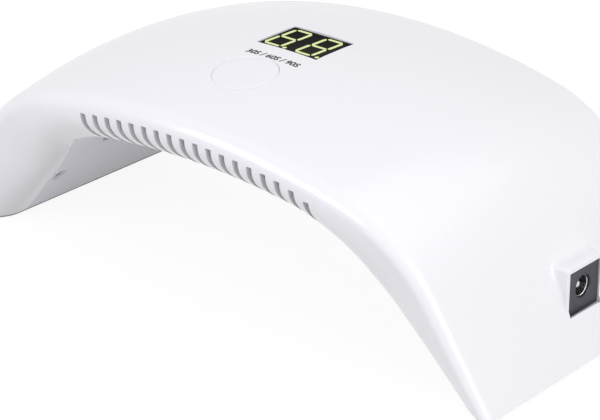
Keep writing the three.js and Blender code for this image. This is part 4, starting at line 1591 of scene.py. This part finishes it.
@dataclass
class HandSensors:
    """The emitter and the receiver that notice a hand, one low in each leg."""

    radius: float = 1.6
    recess: float = 0.15
    length: float = 6.35
    y: float = -27.0
    leg_position: float = 19.2

    def places(self) -> list[Matrix]:
        """The frame of the left and of the right sensor."""
        return [ARCH.leg_frame(side, self.leg_position, self.y) for side in (-1, 1)]

    def build(self) -> None:
        """Models one sensor and copies it to each leg."""
        r, low, high = self.radius, self.recess, self.recess + self.length
        lens = [(r * 0.8 * math.sin(a), low + r * 0.45 * (1 - math.cos(a))) for a in (0, 0.4, 0.8, 1.2, 1.57)]
        made = turned([*lens, (r, low + r * 0.5), (r, high - 0.2), (r - 0.2, high), (0, high)], steps=40)
        crease(made, 40.0)
        nodes = ("hand_sensor_emitter", "hand_sensor_receiver")
        for place, node in zip(self.places(), nodes):
            deliver(copied(made, place), node.replace("hand_", "") + "_lens", SENSOR_RESIN, Body.CASE, [node])
        bpy.data.objects.remove(made)


@dataclass
class CaseScrews:
    """The four pan-head screws that hold the liner to the case."""

    x: float = 39.0
    y: float = 33.0
    head_radius: float = 2.3
    head_height: float = 1.2
    shank_radius: float = 1.3
    length: float = 9.0

    def places(self) -> list[Vector]:
        """The underside of each head in millimetres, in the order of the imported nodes."""
        level = ARCH.inner.height_at(self.x) + 0.1
        return [Vector((side * self.x, end * self.y, level)) for side in (-1, 1) for end in (-1, 1)]

    def build(self) -> None:
        """Models one screw with a cross in its head, and copies it."""
        r, h, s = self.head_radius, self.head_height, self.shank_radius
        profile = [(0, 0), (r * 0.6, 0.02), (r - 0.35, 0.12), (r - 0.1, 0.35), (r, 0.6), (r, h)]
        profile += [(s, h), (s, self.length - 1.0), (0.3, self.length - 0.1), (0, self.length - 0.1)]
        screw = turned(profile, steps=48)
        arms = [block((-1.35, -0.28, -0.4), (1.35, 0.28, 0.75)), block((-0.28, -1.35, -0.4), (0.28, 1.35, 0.75))]
        combine(arms[0], [arms[1]], Joining.WELD)
        combine(screw, [arms[0]], Joining.CUT)
        close_up(screw)
        crease(screw)
        for number, spot in enumerate(self.places(), 1):
            place = Matrix.Translation(spot * MM) @ Matrix.Rotation(0.5 * number, 4, "Z")
            deliver(
                copied(screw, place), f"liner_screw_{number}", SCREW_STEEL, Body.CASE, [f"case_screw_{number}"]
            )
        bpy.data.objects.remove(screw)


@dataclass
class FootPads:
    """The grooved rubber pad under each leg."""

    thickness: float = 0.8
    inset: float = 0.8
    groove: float = 0.7
    groove_depth: float = 0.25
    groove_pitch: float = 1.9

    def build(self, case: Case) -> None:
        """Builds both pads from the outline of the case's foot."""
        foot = ARCH.station(1.0)
        narrow, slim = 1 - self.inset / foot.half_depth, 1 - 2 * self.inset / foot.thickness
        section = both_halves(case.outside_half(foot))
        start = ARCH.inner_half_span + self.inset
        for side, word in ((-1, "left"), (1, "right")):
            bpy.ops.mesh.primitive_circle_add(vertices=len(section), radius=MM, fill_type="NGON")
            pad = bpy.context.object
            ring = sorted(pad.data.vertices, key=lambda v: v.index)
            for vertex, (y, w) in zip(ring, section):
                vertex.co = Vector((side * (start + w * slim), y * narrow, 0.0)) * MM
            with shaping(pad):
                bpy.ops.mesh.extrude_region_move(
                    TRANSFORM_OT_translate={"value": (0, 0, self.thickness * MM)}
                )
            close_up(pad)
            with shaping(pad):
                select_edges(lambda a, b: abs(a.z - b.z) < 1e-7)
                bpy.ops.mesh.bevel(offset=0.12 * MM, segments=2, affect="EDGES")
            reach = foot.half_depth - foot.recess - 3
            tools = []
            for k in range(4):
                x = side * (start + 2.4 + k * self.groove_pitch)
                tools.append(
                    block((x - self.groove / 2, -reach, -1.0), (x + self.groove / 2, reach, self.groove_depth))
                )
            combine(pad, tools, Joining.CUT)
            close_up(pad)
            crease(pad)
            deliver(pad, "foot_pad_" + word, GREY_RUBBER, Body.CASE, ["foot_strip_" + word])


class Electronics:
    """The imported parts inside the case, each in the finish of what it is."""

    finishes: dict[str, Finish] = {
        "main_board": GREEN_BOARD,
        "led_board_top": WHITE_BOARD,
        "led_board_left": WHITE_BOARD,
        "led_board_right": WHITE_BOARD,
        "display_module": DISPLAY_BOX,
        "tact_switch": BLACK_MOULDING,
        "tact_plunger": BRASS,
        "controller_ic": BLACK_MOULDING,
        "power_transistor": BLACK_MOULDING,
        "inductor": FERRITE,
        "capacitor": BLACK_MOULDING,
        "power_connector": CONNECTOR_IVORY,
        "led_connector_left": CONNECTOR_IVORY,
        "led_connector_right": CONNECTOR_IVORY,
        "jack_lug_positive": BRASS,
        "jack_lug_negative": BRASS,
        "lead_positive": RED_LEAD,
        "lead_negative": BLACK_LEAD,
        "lead_led_left": BLACK_LEAD,
        "lead_led_right": BLACK_LEAD,
        "board_screw_1": SCREW_STEEL,
        "board_screw_2": SCREW_STEEL,
        "board_screw_3": SCREW_STEEL,
        "board_screw_4": SCREW_STEEL,
    }

    def dress(self) -> None:
        """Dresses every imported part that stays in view."""
        for node, finish in self.finishes.items():
            finish.dress(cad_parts[node])
            log.info("%-22s packed part, %s", node, finish.name)


# ---------------------------------------------------------------------------------------------
# The studio
# ---------------------------------------------------------------------------------------------


@dataclass
class Softbox:
    """A rectangular soft light."""

    name: str
    place: tuple[float, float, float]
    size: Point2
    power: float
    colour: Colour = (1.0, 1.0, 1.0)
    aim: tuple[float, float, float] = (0.0, 0.0, 0.03)

    def build(self) -> None:
        """Hangs the light and turns it to its aim."""
        bpy.ops.object.light_add(type="AREA", location=self.place)
        lamp = bpy.context.object
        lamp.name = self.name
        lamp.data.shape = "RECTANGLE"
        lamp.data.size, lamp.data.size_y = self.size
        lamp.data.energy = self.power
        lamp.data.color = self.colour
        lamp.rotation_euler = (Vector(self.aim) - Vector(self.place)).to_track_quat("-Z", "Y").to_euler()


@dataclass
class Studio:
    """A plain pale floor, soft lights and the camera."""

    camera_place: tuple[float, float, float] = (0.3937, -0.4591, 0.2916)
    camera_aim: tuple[float, float, float] = (0.03145, -0.03807, 0.03744)
    lens: float = 145.6
    floor_grey: float = 0.6
    sky: Colour = (0.94, 0.94, 0.985)
    sky_strength: float = 0.6
    boxes: tuple[Softbox, ...] = (
        Softbox("key", (0.35, 0.25, 0.9), (0.9, 0.9), 1.8),
        Softbox("side", (1.0, -0.25, 0.45), (0.7, 0.6), 4.1),
        Softbox("front", (-0.35, -0.95, 0.5), (0.8, 0.5), 4.3, colour=(0.96, 0.96, 1.0)),
    )

    def shown_white(self, weave: Weave, lit: bpy.types.Node, white: bpy.types.Node) -> bpy.types.Node:
        """Shows white to the camera, to reflections and through glass, and lit to all else."""
        path = weave.add("LightPath")
        some = weave.add("Math", operation="MAXIMUM")
        every = weave.add("Math", operation="MAXIMUM")
        weave.link(path.outputs["Is Camera Ray"], some.inputs[0])
        weave.link(path.outputs["Is Glossy Ray"], some.inputs[1])
        weave.link(some.outputs[0], every.inputs[0])
        weave.link(path.outputs["Is Transmission Ray"], every.inputs[1])
        mixed = weave.add("MixShader")
        weave.link(every.outputs[0], mixed.inputs[0])
        weave.link(lit.outputs[0], mixed.inputs[1])
        weave.link(white.outputs[0], mixed.inputs[2])
        return mixed

    def floor(self) -> None:
        """A wide pale floor, which keeps the lamp's soft shadow."""
        bpy.ops.mesh.primitive_plane_add(size=6.0, location=(0, 0, -0.0001))
        ground = bpy.context.object
        ground.name = "floor"
        material = bpy.data.materials.new("floor_pale")
        material.use_nodes = True
        weave = Weave(material.node_tree)
        matt = weave.add("BsdfDiffuse", Color=(self.floor_grey,) * 3 + (1.0,))
        veil = weave.add("Emission", Strength=0.9)
        paper = weave.add("BsdfDiffuse", Color=(0.14, 0.14, 0.14, 1.0))
        shaded = weave.add("AddShader")
        weave.link(veil.outputs[0], shaded.inputs[0])
        weave.link(paper.outputs[0], shaded.inputs[1])
        mixed = self.shown_white(weave, matt, shaded)
        output = weave.add("OutputMaterial")
        weave.link(mixed.outputs[0], output.inputs["Surface"])
        ground.data.materials.append(material)

    def world(self) -> None:
        """A plain sky that lights softly and shows white."""
        world = bpy.data.worlds.new("studio_sky")
        bpy.context.scene.world = world
        world.use_nodes = True
        weave = Weave(world.node_tree)
        dome = weave.add("Background", Color=(*self.sky, 1.0), Strength=self.sky_strength)
        white = weave.add("Background", Color=(1.0, 1.0, 1.0, 1.0), Strength=1.0)
        mixed = self.shown_white(weave, dome, white)
        output = weave.add("OutputWorld")
        weave.link(mixed.outputs[0], output.inputs["Surface"])

    def camera(self) -> None:
        """The camera, above and in front of the right leg."""
        bpy.ops.object.camera_add(location=self.camera_place)
        made = bpy.context.object
        made.name = "camera"
        made.data.lens = self.lens
        made.data.sensor_width = 36.0
        made.data.sensor_fit = "HORIZONTAL"
        made.data.clip_start = 0.01
        aim = Vector(self.camera_aim) - Vector(self.camera_place)
        made.rotation_euler = aim.to_track_quat("-Z", "Y").to_euler()
        bpy.context.scene.camera = made

    def build(self) -> None:
        """Builds the whole studio."""
        bpy.context.scene.view_settings.view_transform = "Standard"
        self.camera()
        self.world()
        self.floor()
        for box in self.boxes:
            box.build()


def main() -> None:
    """Builds each sub-assembly in order."""
    Studio().build()
    case, lights, sensors, screws = Case(), Lights(), HandSensors(), CaseScrews()
    case.build()
    Liner().build(lights.places(), sensors.places(), screws.places())
    PushButton().build()
    Display().build()
    TimerLegend().build()
    PowerSocket().build()
    lights.build()
    sensors.build()
    screws.build()
    FootPads().build(case)
    Electronics().dress()


if __name__ == "__main__":
    main()
